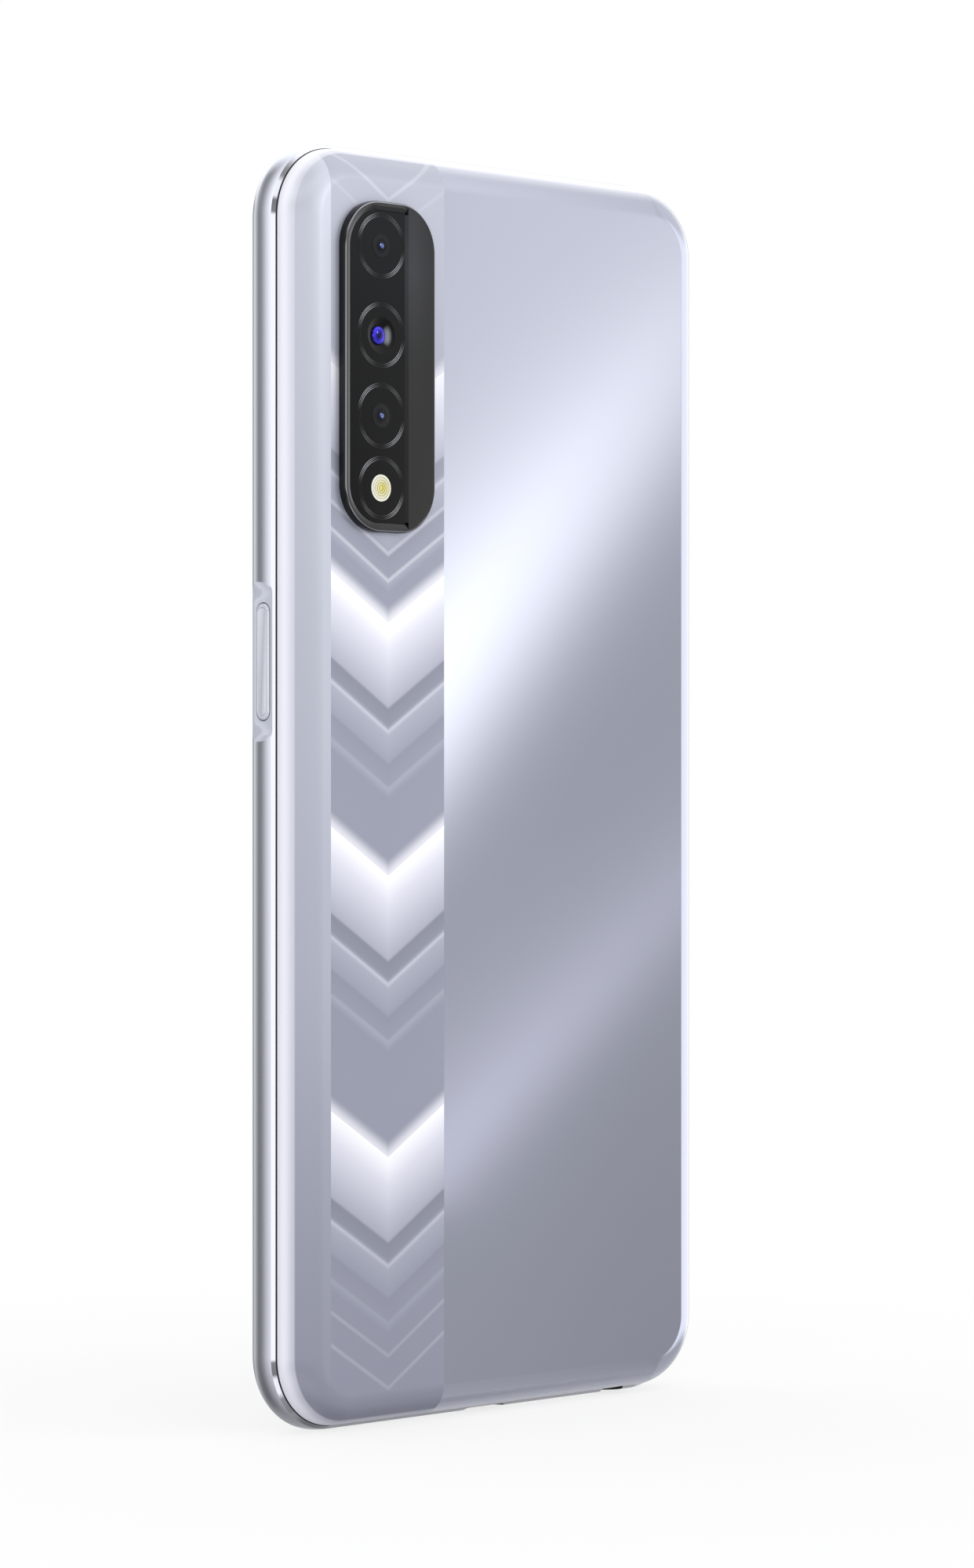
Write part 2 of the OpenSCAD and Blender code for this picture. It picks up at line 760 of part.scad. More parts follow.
// The front element of a camera, a dome on a disc, in the mouth of the barrel
module lens_unit(z, mouth_r) {
    dome_r = mouth_r * 1.6;
    lens_y = barrel_back - 1.6;
    color([0.1, 0.12, 0.45]) translate([lens_x, 0, z]) {
        at_depth(lens_y, lens_y + 0.3) circle(mouth_r - 0.05);
        intersection() {
            translate([0, lens_y + 0.9 - dome_r, 0]) sphere(dome_r);
            at_depth(lens_y + 0.3, lens_y + 1) circle(mouth_r - 0.05);
        }
    }
}

module main_camera() {
    camera_unit(main_camera_z, main_camera_w, plate_back + fit, main_barrel_r, main_mouth_r);
}

module main_lens() { lens_unit(main_camera_z, main_mouth_r); }

module top_camera() {
    camera_unit(top_camera_z, small_camera_w, board_back, small_barrel_r, small_mouth_r);
}

module top_lens() { lens_unit(top_camera_z, small_mouth_r); }

module low_camera() {
    camera_unit(low_camera_z, small_camera_w, board_back, small_barrel_r, small_mouth_r);
}

module low_lens() { lens_unit(low_camera_z, small_mouth_r); }

// Flash lens: a flanged plug whose back face carries fine ring steps
module flash_lens() {
    rings = 4;
    color([0.95, 0.93, 0.75]) translate([lens_x, 0, flash_z]) difference() {
        union() {
            at_depth(window_front - 0.8, window_back) circle(flash_r);
            at_depth(window_front - 0.6, window_front - fit) circle(flash_r + 0.5);
        }
        for (i = [1:rings])
            at_depth(window_back - 0.12, window_back + eps) difference() {
                circle(flash_r * i / (rings + 1) + 0.06);
                circle(flash_r * i / (rings + 1) - 0.06);
            }
    }
}

module flash_led() {
    led_back = window_front - 0.8 - 2 * fit;
    color([0.95, 0.85, 0.4]) translate([lens_x, 0, flash_z]) {
        at_depth(board_back, led_back - 0.6) square(4.4, center = true);
        at_depth(led_back - 0.6, led_back) square(2.4, center = true);
    }
}

// ---------- front camera, earpiece and sensor ----------

module front_camera() {
    color([0.12, 0.12, 0.14]) translate([front_camera_x, 0, front_camera_z]) difference() {
        union() {
            at_depth(glass_back + fit, plate_front) circle(punch_r - 0.2);
            at_depth(plate_front, board_back) square(front_camera_w, center = true);
        }
        translate([0, glass_back, 0]) rotate([-90, 0, 0])
            cylinder(h = 0.6, r1 = punch_r - 0.5, r2 = 0.6);
    }
}

module earpiece_speaker() {
    color([0.2, 0.2, 0.22]) difference() {
        at_depth(plate_back, plate_back + 2.6)
            translate([0, earpiece_top - earpiece_h / 2])
                rounded(earpiece_w, earpiece_h, 0.8);
        at_depth(plate_back + 2.4, plate_back + 3)
            translate([0, earpiece_top - earpiece_h / 2])
                rounded(earpiece_w - 2, earpiece_h - 2, 0.4);
    }
}

module earpiece_mesh() {
    color([0.3, 0.3, 0.32]) translate([0, 0, earpiece_z])
        at_depth(front_y + 0.3, front_y + 0.5)
            rotate(90) slot(earpiece_slot_h - fit, earpiece_slot_l - fit);
}

module sensor_pocket() {
    at_depth(shelf_y - eps, plate_back)
        span(sensor_x0 - fit, sensor_x1 + fit, sensor_z0 - eps, sensor_z1 + fit);
}

module distance_sensor() {
    color([0.15, 0.12, 0.18])
        at_depth(glass_back, plate_front) span(sensor_x0, sensor_x1, sensor_z0, sensor_z1);
}

// ---------- keys ----------

// A key for the +X side: cap, stem and two snap hooks behind the wall
module side_key(z, l, w, cap_in, face_x) {
    translate([0, key_y, z]) {
        across(cap_in, face_x - 0.15) slot(w, l);
        across(cap_in + 0.1, face_x) slot(w - 0.3, l - 0.3);
    }
    translate([0, stem_y, z]) {
        across(stem_in, cap_in + 0.2) square([stem_w, l - 3], center = true);
        across(inner_x - hook_gap - 0.4, inner_x - hook_gap)
            square([stem_w, l - 2], center = true);
    }
}

module power_button() {
    color([0.74, 0.76, 0.82]) difference() {
        side_key(power_z, power_l, power_w, power_face - key_cap_t, power_face);
        translate([0, key_y, power_z])
            across(power_face - 0.3, power_face + eps) slot(sensor_w + 0.04, sensor_l + 0.04);
    }
}

module fingerprint_sensor() {
    color([0.7, 0.72, 0.78]) translate([0, key_y, power_z])
        across(power_face - 0.28, power_face) slot(sensor_w, sensor_l);
}

module volume_button(z) {
    color([0.74, 0.76, 0.82]) mirror([1, 0, 0])
        side_key(z, volume_l, volume_w, side_x - 0.1 - key_cap_t, volume_face);
}

module volume_up_button() { volume_button(volume_z + volume_pitch / 2); }

module volume_down_button() { volume_button(volume_z - volume_pitch / 2); }

// A steel bracket between the frame's ribs, with one dome for each place in a list
module switch_bracket(z, half, domes) {
    translate([0, 0, z])
        across(bracket_x, bracket_x + bracket_t) span(bracket_y0, bracket_y1, -half, half);
    for (place = domes)
        translate([0, stem_y, place])
            across(bracket_x + bracket_t, switch_x) circle(0.7, $fn = 48);
}

module power_switch() {
    color([0.75, 0.6, 0.35]) switch_bracket(power_z, power_l / 2 + 1.4, [power_z]);
}

module volume_switches() {
    color([0.75, 0.6, 0.35]) mirror([1, 0, 0])
        switch_bracket(volume_z, (volume_pitch + volume_l) / 2 + 1.4,
                       [volume_z - volume_pitch / 2, volume_z + volume_pitch / 2]);
}

// ---------- card tray ----------

module sim_tray() {
    neck = -side_x + face_t;
    color([0.74, 0.76, 0.82]) difference() {
        union() {
            translate([0, face_y, tray_z]) across(-side_x, neck) slot(face_w, face_l);
            at_depth(tray_y0, tray_y1)
                translate([0, tray_z]) span(neck - 0.2, tray_end, -tray_w / 2, tray_w / 2);
        }
        // two small card wells and one larger one
        at_depth(tray_y0 + 0.35, tray_y1 + eps) translate([0, tray_z]) {
            span(neck + 2.6, neck + 11.4, -6.15 + 0.65, 6.15 - 0.65);
            span(neck + 12.4, neck + 21.2, -6.15 + 0.65, 6.15 - 0.65);
            span(neck + 22.2, neck + 37.2, -5.5, 5.5);
        }
        at_depth(tray_y0 - eps, tray_y1) translate([0, tray_z]) {
            span(neck + 4, neck + 10, -4, 4);
            span(neck + 13.8, neck + 19.8, -4, 4);
            span(neck + 24.5, neck + 35, -4, 4);
        }
        translate([0, tray_mid_y, pin_z]) across(-side_x - eps, neck + eps)
            circle(pin_hole_r, $fn = 32);
    }
}

module sim_tray_seal() {
    seal_x = -side_x + face_t + face_gap;
    color([0.25, 0.25, 0.27]) translate([0, tray_mid_y, tray_z])
        across(seal_x, seal_x + seal_l) difference() {
            rounded(tray_t + 2 * seal_t, tray_w + 2 * seal_t, 0.5);
            square([tray_t, tray_w], center = true);
        }
}

module sim_reader() {
    rail_z0 = tray_w / 2 + tray_gap;
    rod_z = pin_z - tray_z;
    color([0.8, 0.8, 0.78]) difference() {
        translate([0, 0, tray_z]) {
            at_depth(tray_y1 + tray_gap, board_front)
                span(reader_x0, reader_x1, -rail_z0 - 1, rod_z + 1.3);
            at_depth(plate_back + 0.05, tray_y1 + tray_gap) {
                span(reader_x0, reader_x1, -rail_z0 - 1, -rail_z0);
                span(reader_x0, reader_x1 - 3, rail_z0, rod_z - pin_hole_r - 0.1);
                span(reader_x0, reader_x1, rod_z + pin_hole_r + 0.1, rod_z + 1.3);
            }
        }
        translate([0, 0, tray_z]) at_depth(tray_y1, board_front + eps)
            for (x = [reader_x0 + 5, reader_x0 + 14, reader_x0 + 25]) span(x, x + 6, -4.2, 4.2);
    }
}

// Ejector: a push rod beside the tray and a lever across the tray's inner end
module sim_ejector() {
    rod_z = pin_z - tray_z;
    color([0.6, 0.6, 0.62]) translate([0, 0, tray_z])
        at_depth(tray_y0 + 0.2, tray_y1) {
            span(reader_x0 + 0.2, tray_end + 0.4, rod_z - pin_hole_r + 0.05,
                 rod_z + pin_hole_r - 0.05);
            span(tray_end + 0.2, tray_end + 1.4, -tray_w / 2, rod_z + pin_hole_r - 0.05);
        }
}

// ---------- boards ----------

module main_board_outline() {
    difference() {
        intersection() {
            inner_outline(board_inset);
            span(-side_x, side_x, board_z, body_h);
        }
        translate([lens_x, main_camera_z]) square(main_camera_w + 0.6, center = true);
        translate([front_camera_x, front_camera_z])
            square([front_camera_w + 0.6, front_camera_w + 0.6], center = true);
        span(-earpiece_w / 2 - 0.3, earpiece_w / 2 + 0.3, earpiece_top - earpiece_h - 0.3, body_h);
        for (p = top_screws) translate(p) circle(screw_r + 0.2);
    }
}

module main_board() {
    color([0.05, 0.22, 0.3]) at_depth(board_front, board_back) main_board_outline();
}

module shield_cans() {
    color([0.78, 0.79, 0.8]) for (c = main_cans)
        difference() {
            at_depth(board_back, can_back) span(c[0], c[1], c[2], c[3]);
            at_depth(board_back - eps, can_back - 0.2)
                span(c[0] + 0.2, c[1] - 0.2, c[2] + 0.2, c[3] - 0.2);
        }
}

module board_connectors() {
    color([0.12, 0.12, 0.13]) at_depth(board_back, connector_back)
        for (c = connectors) span(c[0], c[1], c[2], c[3]);
}

// The cover over the main board stands on tubes round its screws
module cover_with_tubes(screws) {
    difference() {
        union() {
            at_depth(cover_plate_y, cover_plate_back) children();
            at_depth(board_back, cover_plate_back) for (p = screws) translate(p) circle(boss_r);
        }
        at_depth(board_back - eps, cover_plate_back + eps)
            for (p = screws) translate(p) circle(screw_r + 0.05);
        at_depth(cover_plate_back - 0.25, cover_plate_back + eps)
            for (p = screws) translate(p) circle(screw_head_r + 0.1);
    }
}

module board_cover() {
    color([0.2, 0.21, 0.23]) cover_with_tubes(top_screws) difference() {
        intersection() {
            inner_outline(board_inset + 0.4);
            span(-side_x, island_x - 9.6, board_z + 0.4, body_h);
        }
        translate([front_camera_x, front_camera_z]) square(front_camera_w + 1, center = true);
        span(main_flex_x[0] - 1, main_flex_x[1] + 1, 0, board_z + 6);
        for (i = [0:5])
            translate([-28 + i * 6, board_z + 33]) slot(1.6, 9);
    }
}

module bottom_board() {
    color([0.05, 0.22, 0.3]) at_depth(board_front, board_back) difference() {
        intersection() {
            inner_outline(board_inset);
            span(-side_x, speaker_x0 - 0.6, 0, low_board_z);
        }
        span(-port_w / 2 - 0.2, port_w / 2 + 0.2, 0, port_z + port_l + 0.1);
        span(jack_x - 3, jack_x + 3, 0, jack_z + jack_l + 0.2);
        for (p = low_screws) translate(p) circle(screw_r + 0.2);
    }
}

module bottom_cover() {
    color([0.2, 0.21, 0.23]) cover_with_tubes(low_screws) difference() {
        intersection() {
            inner_outline(board_inset + 0.4);
            span(-side_x, speaker_x0 - 1, 0, low_board_z);
        }
        span(main_flex_x[0] - 1, 5.8, low_connector_z - 3, low_board_z + eps);
        translate([motor_x, motor_z]) circle(motor_r + 0.3);
        span(jack_x - 3, jack_x + 3, 0, jack_z + jack_l + 0.2);
    }
}

module cover_screws() {
    color([0.65, 0.65, 0.67]) for (p = concat(top_screws, low_screws)) {
        difference() {
            union() {
                at_depth(plate_back, cover_plate_back - 0.25) translate(p) circle(screw_r);
                at_depth(cover_plate_back - 0.25, cover_plate_back - 0.25 + screw_head_h)
                    translate(p) circle(screw_head_r);
            }
            at_depth(cover_plate_back - 0.25 + screw_head_h - 0.2, cover_plate_back + eps)
                translate(p) {
                    square([1.3, 0.35], center = true);
                    square([0.35, 1.3], center = true);
                }
        }
    }
}

// ---------- bottom edge ----------

module usb_port() {
    tongue_l = port_l - 1.6;
    color([0.8, 0.81, 0.82]) difference() {
        upward(port_z, port_z + port_l) port_slot(0);
        upward(port_z - eps, port_z + port_l - 0.8) port_slot(-port_sheet);
    }
    color([0.12, 0.12, 0.13]) translate([0, port_y, 0])
        upward(port_z + port_l - 0.8 - tongue_l, port_z + port_l - 0.4)
            square([6.69, 0.7], center = true);
}

module usb_gasket() {
    color([0.15, 0.15, 0.16]) upward(frame_wall + 0.05, frame_wall + 0.85) difference() {
        port_slot(gasket_rim);
        port_slot(0.05);
    }
}

module headphone_jack() {
    outer = jack_r + jack_wall;
    color([0.16, 0.16, 0.17]) translate([jack_x, jack_y, 0]) difference() {
        upward(jack_z, jack_z + jack_l) square([5.6, 2 * outer], center = true);
        upward(jack_z - eps, jack_z + jack_l - 0.4) circle(jack_r);
    }
}

module speaker_box() {
    nose_x1 = grille_x0 + (grille_count - 1) * grille_pitch + 2;
    color([0.13, 0.13, 0.14]) difference() {
        union() {
            at_depth(plate_back, cover_in - 0.4) intersection() {
                inner_outline(board_inset);
                span(speaker_x0, side_x, 0, low_board_z);
            }
            at_depth(plate_back, lip_front - fit) intersection() {
                inner_outline(frame_wall + 0.3);
                span(grille_x0 - 2, nose_x1, speaker_z, board_inset + eps);
            }
        }
        at_depth(plate_back + 0.3, lip_front - 0.4)
            span(grille_x0 - 1.5, nose_x1 - 0.5, speaker_z - eps, speaker_z + 3);
        at_depth(cover_in - 0.7, cover_in)
            translate([speaker_x0 + 11.5, 10.8]) rounded(17, 11, 2.5);
    }
}

module speaker_mesh() {
    color([0.35, 0.35, 0.36])
        at_depth(grille_y - grille_r - 0.05, grille_y + grille_r + 0.05) intersection() {
            inner_outline(frame_wall + 0.04);
            span(grille_x0 - 1.8, grille_x0 + (grille_count - 1) * grille_pitch + 1.8,
                 frame_wall + 0.05, speaker_z - 0.1);
        }
}

module vibration_motor() {
    color([0.75, 0.76, 0.77]) translate([motor_x, 0, motor_z]) {
        at_depth(board_back, board_back + motor_t) circle(motor_r);
        at_depth(board_back, board_back + motor_t + 0.15) circle(motor_r - 1.5);
    }
}

module bottom_microphone() {
    color([0.8, 0.7, 0.4]) at_depth(board_front - 1.1, board_front)
        translate([mic_x, board_inset + 1.6]) rounded(3.4, 2.6, 0.2);
    color([0.1, 0.1, 0.1]) at_depth(grille_y - 0.5, lip_front - fit)
        span(mic_x - 1.2, mic_x + 1.2, frame_wall + 0.05, board_inset + 0.3);
}

module top_microphone() {
    color([0.8, 0.7, 0.4]) at_depth(board_front - 1, board_front)
        translate([top_mic_x, body_h - board_inset - 1.6]) rounded(3.4, 2.6, 0.2);
    color([0.1, 0.1, 0.1]) at_depth(board_front - 1, lip_front - fit)
        span(top_mic_x - 1.2, top_mic_x + 1.2, body_h - board_inset - 0.3,
             body_h - frame_wall - 0.05);
}

// ---------- battery, cables and heat sheet ----------

module battery() {
    h = battery_high - battery_low;
    color([0.12, 0.12, 0.13]) translate([0, 0, (battery_low + battery_high) / 2]) {
        at_depth(battery_y, battery_back) rounded(2 * battery_x - 1.2, h - 4, 1.2);
        at_depth(battery_y + 0.6, battery_back - 0.6) rounded(2 * battery_x, h - 3, 1.5);
    }
    color([0.3, 0.3, 0.3])
        at_depth(battery_y + 1.4, battery_back - 1.4)
            span(-battery_x + 1, battery_x - 1, battery_high - 3, battery_high);
}

// A flat cable drawn by its run in depth and height, as wide as two X places
module flex_strip(x_range, run) {
    across(x_range[0], x_range[1]) polygon(run);
}

module battery_flex() {
    y = connector_back;
    rise = battery_back - 1.4;
    terrace_z = battery_high - 1.4;
    fold = board_z - 0.9;
    color([0.7, 0.45, 0.15]) flex_strip(battery_flex_x, [
        [y, high_connector_z], [y + flex_t, high_connector_z], [y + flex_t, fold],
        [rise + flex_t, fold], [rise + flex_t, terrace_z], [rise, terrace_z],
        [rise, fold - flex_t], [y, fold - flex_t]]);
}

module main_flex() {
    y = connector_back;
    high = battery_back + fit;
    top_fold = board_z - 0.3;
    low_fold = low_board_z + 0.3;
    color([0.7, 0.45, 0.15]) flex_strip(main_flex_x, [
        [y, high_connector_z], [y + flex_t, high_connector_z], [y + flex_t, top_fold],
        [high + flex_t, top_fold], [high + flex_t, low_fold - flex_t],
        [y + flex_t, low_fold - flex_t], [y + flex_t, low_connector_z + 3],
        [y, low_connector_z + 3], [y, low_fold], [high, low_fold],
        [high, top_fold - flex_t], [y, top_fold - flex_t]]);
}

module display_flex() {
    y = connector_back;
    low = backlight_back;
    fold = low_board_z + 0.25;
    color([0.7, 0.45, 0.15]) flex_strip(display_flex_x, [
        [low, 10.6], [low + flex_t, 10.6], [low + flex_t, fold], [y, fold],
        [y, low_connector_z - 2], [y + flex_t, low_connector_z - 2],
        [y + flex_t, fold + flex_t], [low, fold + flex_t]]);
}

// The cable runs up beside the battery and bends in to a round plug at each end
module antenna_cable() {
    wire_r = 0.35;
    bend_r = 1.2;
    wire_x = -(battery_x + lip_x) / 2;
    wire_y = board_back + wire_r;
    ends = [[low_board_z - 6.5, -1, 180], [board_z + 11, 1, 90]];
    color([0.15, 0.15, 0.16]) {
        translate([wire_x, wire_y, 0]) upward(ends[0][0], ends[1][0]) circle(wire_r);
        for (e = ends) translate([wire_x + bend_r, wire_y, e[0]]) {
            rotate([90, 0, 0]) rotate([0, 0, e[2]])
                rotate_extrude(angle = 90) translate([bend_r, 0]) circle(wire_r);
            translate([0, 0, e[1] * bend_r]) {
                across(0, 1) circle(wire_r);
                translate([1.2, -wire_y, 0]) at_depth(board_back, board_back + 0.8) circle(0.9);
            }
        }
    }
}

module heat_sheet() {
    color([0.25, 0.25, 0.26]) at_depth(cover_in - 0.12, cover_in)
        span(-lip_x + 6, island_x - island_w / 2 - 2, 34, body_h - 14);
}

side_frame();
chassis_plate();
back_cover();
display_glass();
glass_tape();
display_cell();
backlight_unit();
camera_bezel();
camera_window();
flash_lens();
flash_led();
main_camera();
main_lens();
top_camera();
top_lens();
low_camera();
low_lens();
front_camera();
earpiece_speaker();
earpiece_mesh();
distance_sensor();
power_button();
fingerprint_sensor();
power_switch();
volume_up_button();
volume_down_button();
volume_switches();
sim_tray();
sim_tray_seal();
sim_reader();
sim_ejector();
main_board();
shield_cans();
board_connectors();
board_cover();
bottom_board();
bottom_cover();
usb_port();
usb_gasket();
headphone_jack();
speaker_box();
speaker_mesh();
vibration_motor();
bottom_microphone();
top_microphone();
battery();
battery_flex();
main_flex();
display_flex();
antenna_cable();
cover_screws();
heat_sheet();
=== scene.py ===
"""Looks of the smartphone: a silver pearl back with a stripe of chevrons, a black camera island,
a polished frame edge, and the black glass front. Sizes are in millimetres until a mesh is made."""
import json
import math

import bmesh
import bpy
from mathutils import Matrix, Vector


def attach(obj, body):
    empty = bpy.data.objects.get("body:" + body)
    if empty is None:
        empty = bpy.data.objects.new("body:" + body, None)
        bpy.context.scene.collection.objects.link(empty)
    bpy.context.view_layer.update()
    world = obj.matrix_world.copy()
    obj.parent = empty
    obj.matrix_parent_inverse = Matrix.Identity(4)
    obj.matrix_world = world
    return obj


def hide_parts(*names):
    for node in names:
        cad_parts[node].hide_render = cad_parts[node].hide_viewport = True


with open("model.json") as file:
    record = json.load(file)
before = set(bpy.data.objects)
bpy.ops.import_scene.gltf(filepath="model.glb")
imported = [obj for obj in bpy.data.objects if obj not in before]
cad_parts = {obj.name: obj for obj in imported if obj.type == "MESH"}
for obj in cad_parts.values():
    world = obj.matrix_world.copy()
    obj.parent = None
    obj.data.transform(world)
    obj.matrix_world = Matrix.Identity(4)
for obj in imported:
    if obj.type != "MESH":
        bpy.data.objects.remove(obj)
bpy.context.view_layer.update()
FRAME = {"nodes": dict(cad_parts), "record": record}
NODES = FRAME["nodes"]

MM = 0.001
BODY_W, BODY_H, CORNER_R = 75.4, 162.3, 10.0
SIDE_X, MID_Z = BODY_W / 2, BODY_H / 2
# half lengths of the outline's straight runs
RUN_X, RUN_Z = SIDE_X - CORNER_R, MID_Z - CORNER_R
FRONT_Y, BACK_Y = -4.55, 4.55
FRONT_R, RIM_Y, CREASE_Y, SEAM_Y = 2.2, -2.35, -0.1, 0.4
SIDE_BULGE, SEAM_GAP = 0.28, 0.12
BULGE_R = round(50 * ((CREASE_Y - RIM_Y) ** 2 + SIDE_BULGE ** 2) / SIDE_BULGE) / 100
SEAM_INSET = 0.78
COVER_R, COVER_WALL = BACK_Y - SEAM_Y, 0.9
FRAME_WALL, FRAME_RIM, SHELF_REACH = 2.3, 0.85, 3.2
LIP_OUT, LIP_IN, LIP_FRONT = 2.4, 3.1, -0.4
GLASS_BACK, SHELF_Y, PLATE_FRONT = -3.85, -3.75, -2.5
KEY_Y, POWER_Z, VOLUME_Z = -1.65, 96.8, 110.0
TRAY_Z, FACE_Y = 137.0, -1.5
ISLAND = ISLAND_W, ISLAND_H, ISLAND_R, ISLAND_X, ISLAND_Z = 15.8, 41.7, 6.0, 22.25, 134.05
ISLAND_BACK, WINDOW_BACK, WINDOW_FRONT, LAND_W = 5.7, 5.35, 4.65, 1.15
LENS_X, TOP_Z, MAIN_Z, LOW_Z, FLASH_Z = 23.65, 149.3, 138.05, 127.9, 118.8
STRIPE_X0, STRIPE_X1, STRIPE_MID = 11.8, 31.54, 21.67
PUNCH_X, PUNCH_Z, PUNCH_R, CHIN, FOREHEAD = -30.3, 152.9, 2.1, 8.0, 3.6
EARPIECE_Z, EARPIECE_H, EARPIECE_W = 160.0, 0.9, 12
JACK_X, JACK_Y, JACK_R, PORT_Y, PORT_H, PORT_W = -24, -0.53, 2.15, -1.55, 3.4, 9.14
SPEAKER_X, SPEAKER_STEP, SPEAKER_R, SPEAKER_HOLES = 14.5, 2.3, 0.6, 6
HOLE_Y, MIC_R, LOW_MIC_X, TOP_MIC_X, TOP_MIC_Y = -1.3, 0.5, -11.5, 16, -0.9
POWER_CUT, VOLUME_STEP = 0.4, 6.5
WINDOW_X0, WINDOW_X1, WINDOW_Z0, WINDOW_Z1, WINDOW_R = 19.2, 29.0, 114.35, 153.75, 4.85
MAIN_R, SMALL_R, PUPIL_R, MAIN_PUPIL_R, FLASH_R = 2.35, 1.6, 0.5, 1.22, 1.75
EYE = (418.68, 420.81, 81.15)
ARC = 32
TOP_LEVEL = 2.5


# ---------- camera ----------

def new_object(name, data):
    """A new object in the scene."""
    made = bpy.data.objects.new(name, data)
    bpy.context.scene.collection.objects.link(made)
    return made


def make_camera():
    """The photograph's camera: 594 mm away, 45 degrees off the back, level with the middle."""
    data = bpy.data.cameras.new("photo_camera")
    data.sensor_width, data.lens = 36.0, 104.53
    data.shift_x, data.shift_y = 3.25 / 2000, 3.9 / 2000
    data.clip_start, data.clip_end = 0.01, 20.0
    camera = new_object("photo_camera", data)
    place = Vector(EYE) * MM
    camera.location = place
    aim = Vector((0, 0, EYE[2] * MM)) - place
    camera.rotation_euler = aim.to_track_quat("-Z", "Y").to_euler()
    bpy.context.scene.camera = camera


# ---------- material helpers ----------

def srgb(code):
    """A hex colour as linear RGBA."""
    parts = [int(code[i:i + 2], 16) / 255 for i in (0, 2, 4)]
    return [p / 12.92 if p <= 0.04045 else ((p + 0.055) / 1.055) ** 2.4 for p in parts] + [1.0]


def add_node(tree, kind, settings=None, **links):
    """Adds a node, sets its properties, and gives its inputs a value or a link: an input is named,
    or counted as _0."""
    node = tree.nodes.new(kind)
    for key, value in (settings or {}).items():
        setattr(node, key, value)
    for key, value in links.items():
        if key[0] == "_":
            socket = node.inputs[int(key[1:])]
        else:
            socket = node.inputs[key.replace("_", " ")]
        if isinstance(value, bpy.types.NodeSocket):
            tree.links.new(value, socket)
        else:
            socket.default_value = value
    return node


def new_material(name, colour, specular=0.5, **sockets):
    """A Principled material with plain values on the shader's own sockets."""
    made = bpy.data.materials.new(name)
    made.use_nodes = True
    shader = made.node_tree.nodes["Principled BSDF"]
    shader.inputs["Base Color"].default_value = srgb(colour)
    shader.inputs["Specular IOR Level"].default_value = specular
    for key, value in sockets.items():
        shader.inputs[key.replace("_", " ")].default_value = value
    return made, made.node_tree, shader


def paint(shader, colour):
    """Feeds the shader's base colour."""
    shader.id_data.links.new(colour, shader.inputs["Base Color"])


def maths(tree, operation, a, b=0.0, c=0.0, clamp=False):
    """One calculation."""
    return add_node(tree, "ShaderNodeMath", {"operation": operation, "use_clamp": clamp},
                    _0=a, _1=b, _2=c).outputs[0]


def times(tree, a, *others):
    """A product."""
    for other in others:
        a = maths(tree, "MULTIPLY", a, other)
    return a


def minus(tree, a, b):
    """A difference."""
    return maths(tree, "SUBTRACT", a, b)


def plus(tree, a, b, clamp=False):
    """A sum."""
    return maths(tree, "ADD", a, b, clamp=clamp)


def between(tree, value, low, high, start=0.0, end=1.0, soft=True):
    """Maps value from low..high to start..end, eased and held past both ends."""
    return add_node(tree, "ShaderNodeMapRange",
                    {"interpolation_type": "SMOOTHSTEP" if soft else "LINEAR"},
                    Value=value, From_Min=low, From_Max=high, To_Min=start, To_Max=end).outputs[0]


def mixed(tree, factor, low, high):
    """A colour between two others."""
    return add_node(tree, "ShaderNodeMix", {"data_type": "RGBA"},
                    _0=factor, _6=low, _7=high).outputs[2]


def mixed_value(tree, factor, low, high):
    """A number between two others."""
    return add_node(tree, "ShaderNodeMix", None, _0=factor, _2=low, _3=high).outputs[0]


def mixed_shader(tree, factor, low, high):
    """A node that shows one of two shaders."""
    return add_node(tree, "ShaderNodeMixShader", None, _0=factor, _1=low.outputs[0],
                    _2=high.outputs[0])


def seen_by(tree):
    """Whether the camera looks at this point, and whether a gloss surface does."""
    ray = add_node(tree, "ShaderNodeLightPath").outputs
    return (ray["Is Camera Ray"],
            maths(tree, "MAXIMUM", ray["Is Glossy Ray"], ray["Is Transmission Ray"]))


def distance(tree, across, up):
    """Length of the vector (across, up)."""
    return maths(tree, "SQRT", plus(tree, times(tree, across, across),
                                     times(tree, up, up)))


def object_axes(tree):
    """Object coordinates in millimetres, as three outputs."""
    place = add_node(tree, "ShaderNodeTexCoord").outputs["Object"]
    scaled = add_node(tree, "ShaderNodeVectorMath", {"operation": "SCALE"}, _0=place, Scale=1000.0)
    return add_node(tree, "ShaderNodeSeparateXYZ", None, _0=scaled.outputs[0]).outputs


def ramp(tree, factor, stops):
    """A ramp over 0 to 1; each stop is (place, hex) or (place, grey level)."""
    node = add_node(tree, "ShaderNodeValToRGB", None, _0=factor)
    elements = node.color_ramp.elements
    while len(elements) < len(stops):
        elements.new(0.5)
    for element, (place, _) in zip(elements, stops):
        element.position = place
    for element, (_, shade) in zip(elements, stops):
        element.color = srgb(shade) if isinstance(shade, str) else [shade] * 3 + [1]
    return node.outputs[0]


def levels(tree, value, low, high, stops):
    """A grey level that follows value; each stop is (value, level), with levels up to TOP_LEVEL."""
    found = ramp(tree, between(tree, value, low, high, soft=False),
                 [((place - low) / (high - low), level / TOP_LEVEL) for place, level in stops])
    return times(tree, found, TOP_LEVEL)


def inset_of(tree, x, z):
    """How far a point lies inside the body's outline, in millimetres."""
    side = minus(tree, maths(tree, "ABSOLUTE", x), RUN_X)
    side = maths(tree, "MAXIMUM", side, 0.0)
    end = maths(tree, "ABSOLUTE", minus(tree, z, MID_Z))
    end = maths(tree, "MAXIMUM", minus(tree, end, RUN_Z), 0.0)
    return minus(tree, CORNER_R, distance(tree, side, end))


# ---------- materials ----------

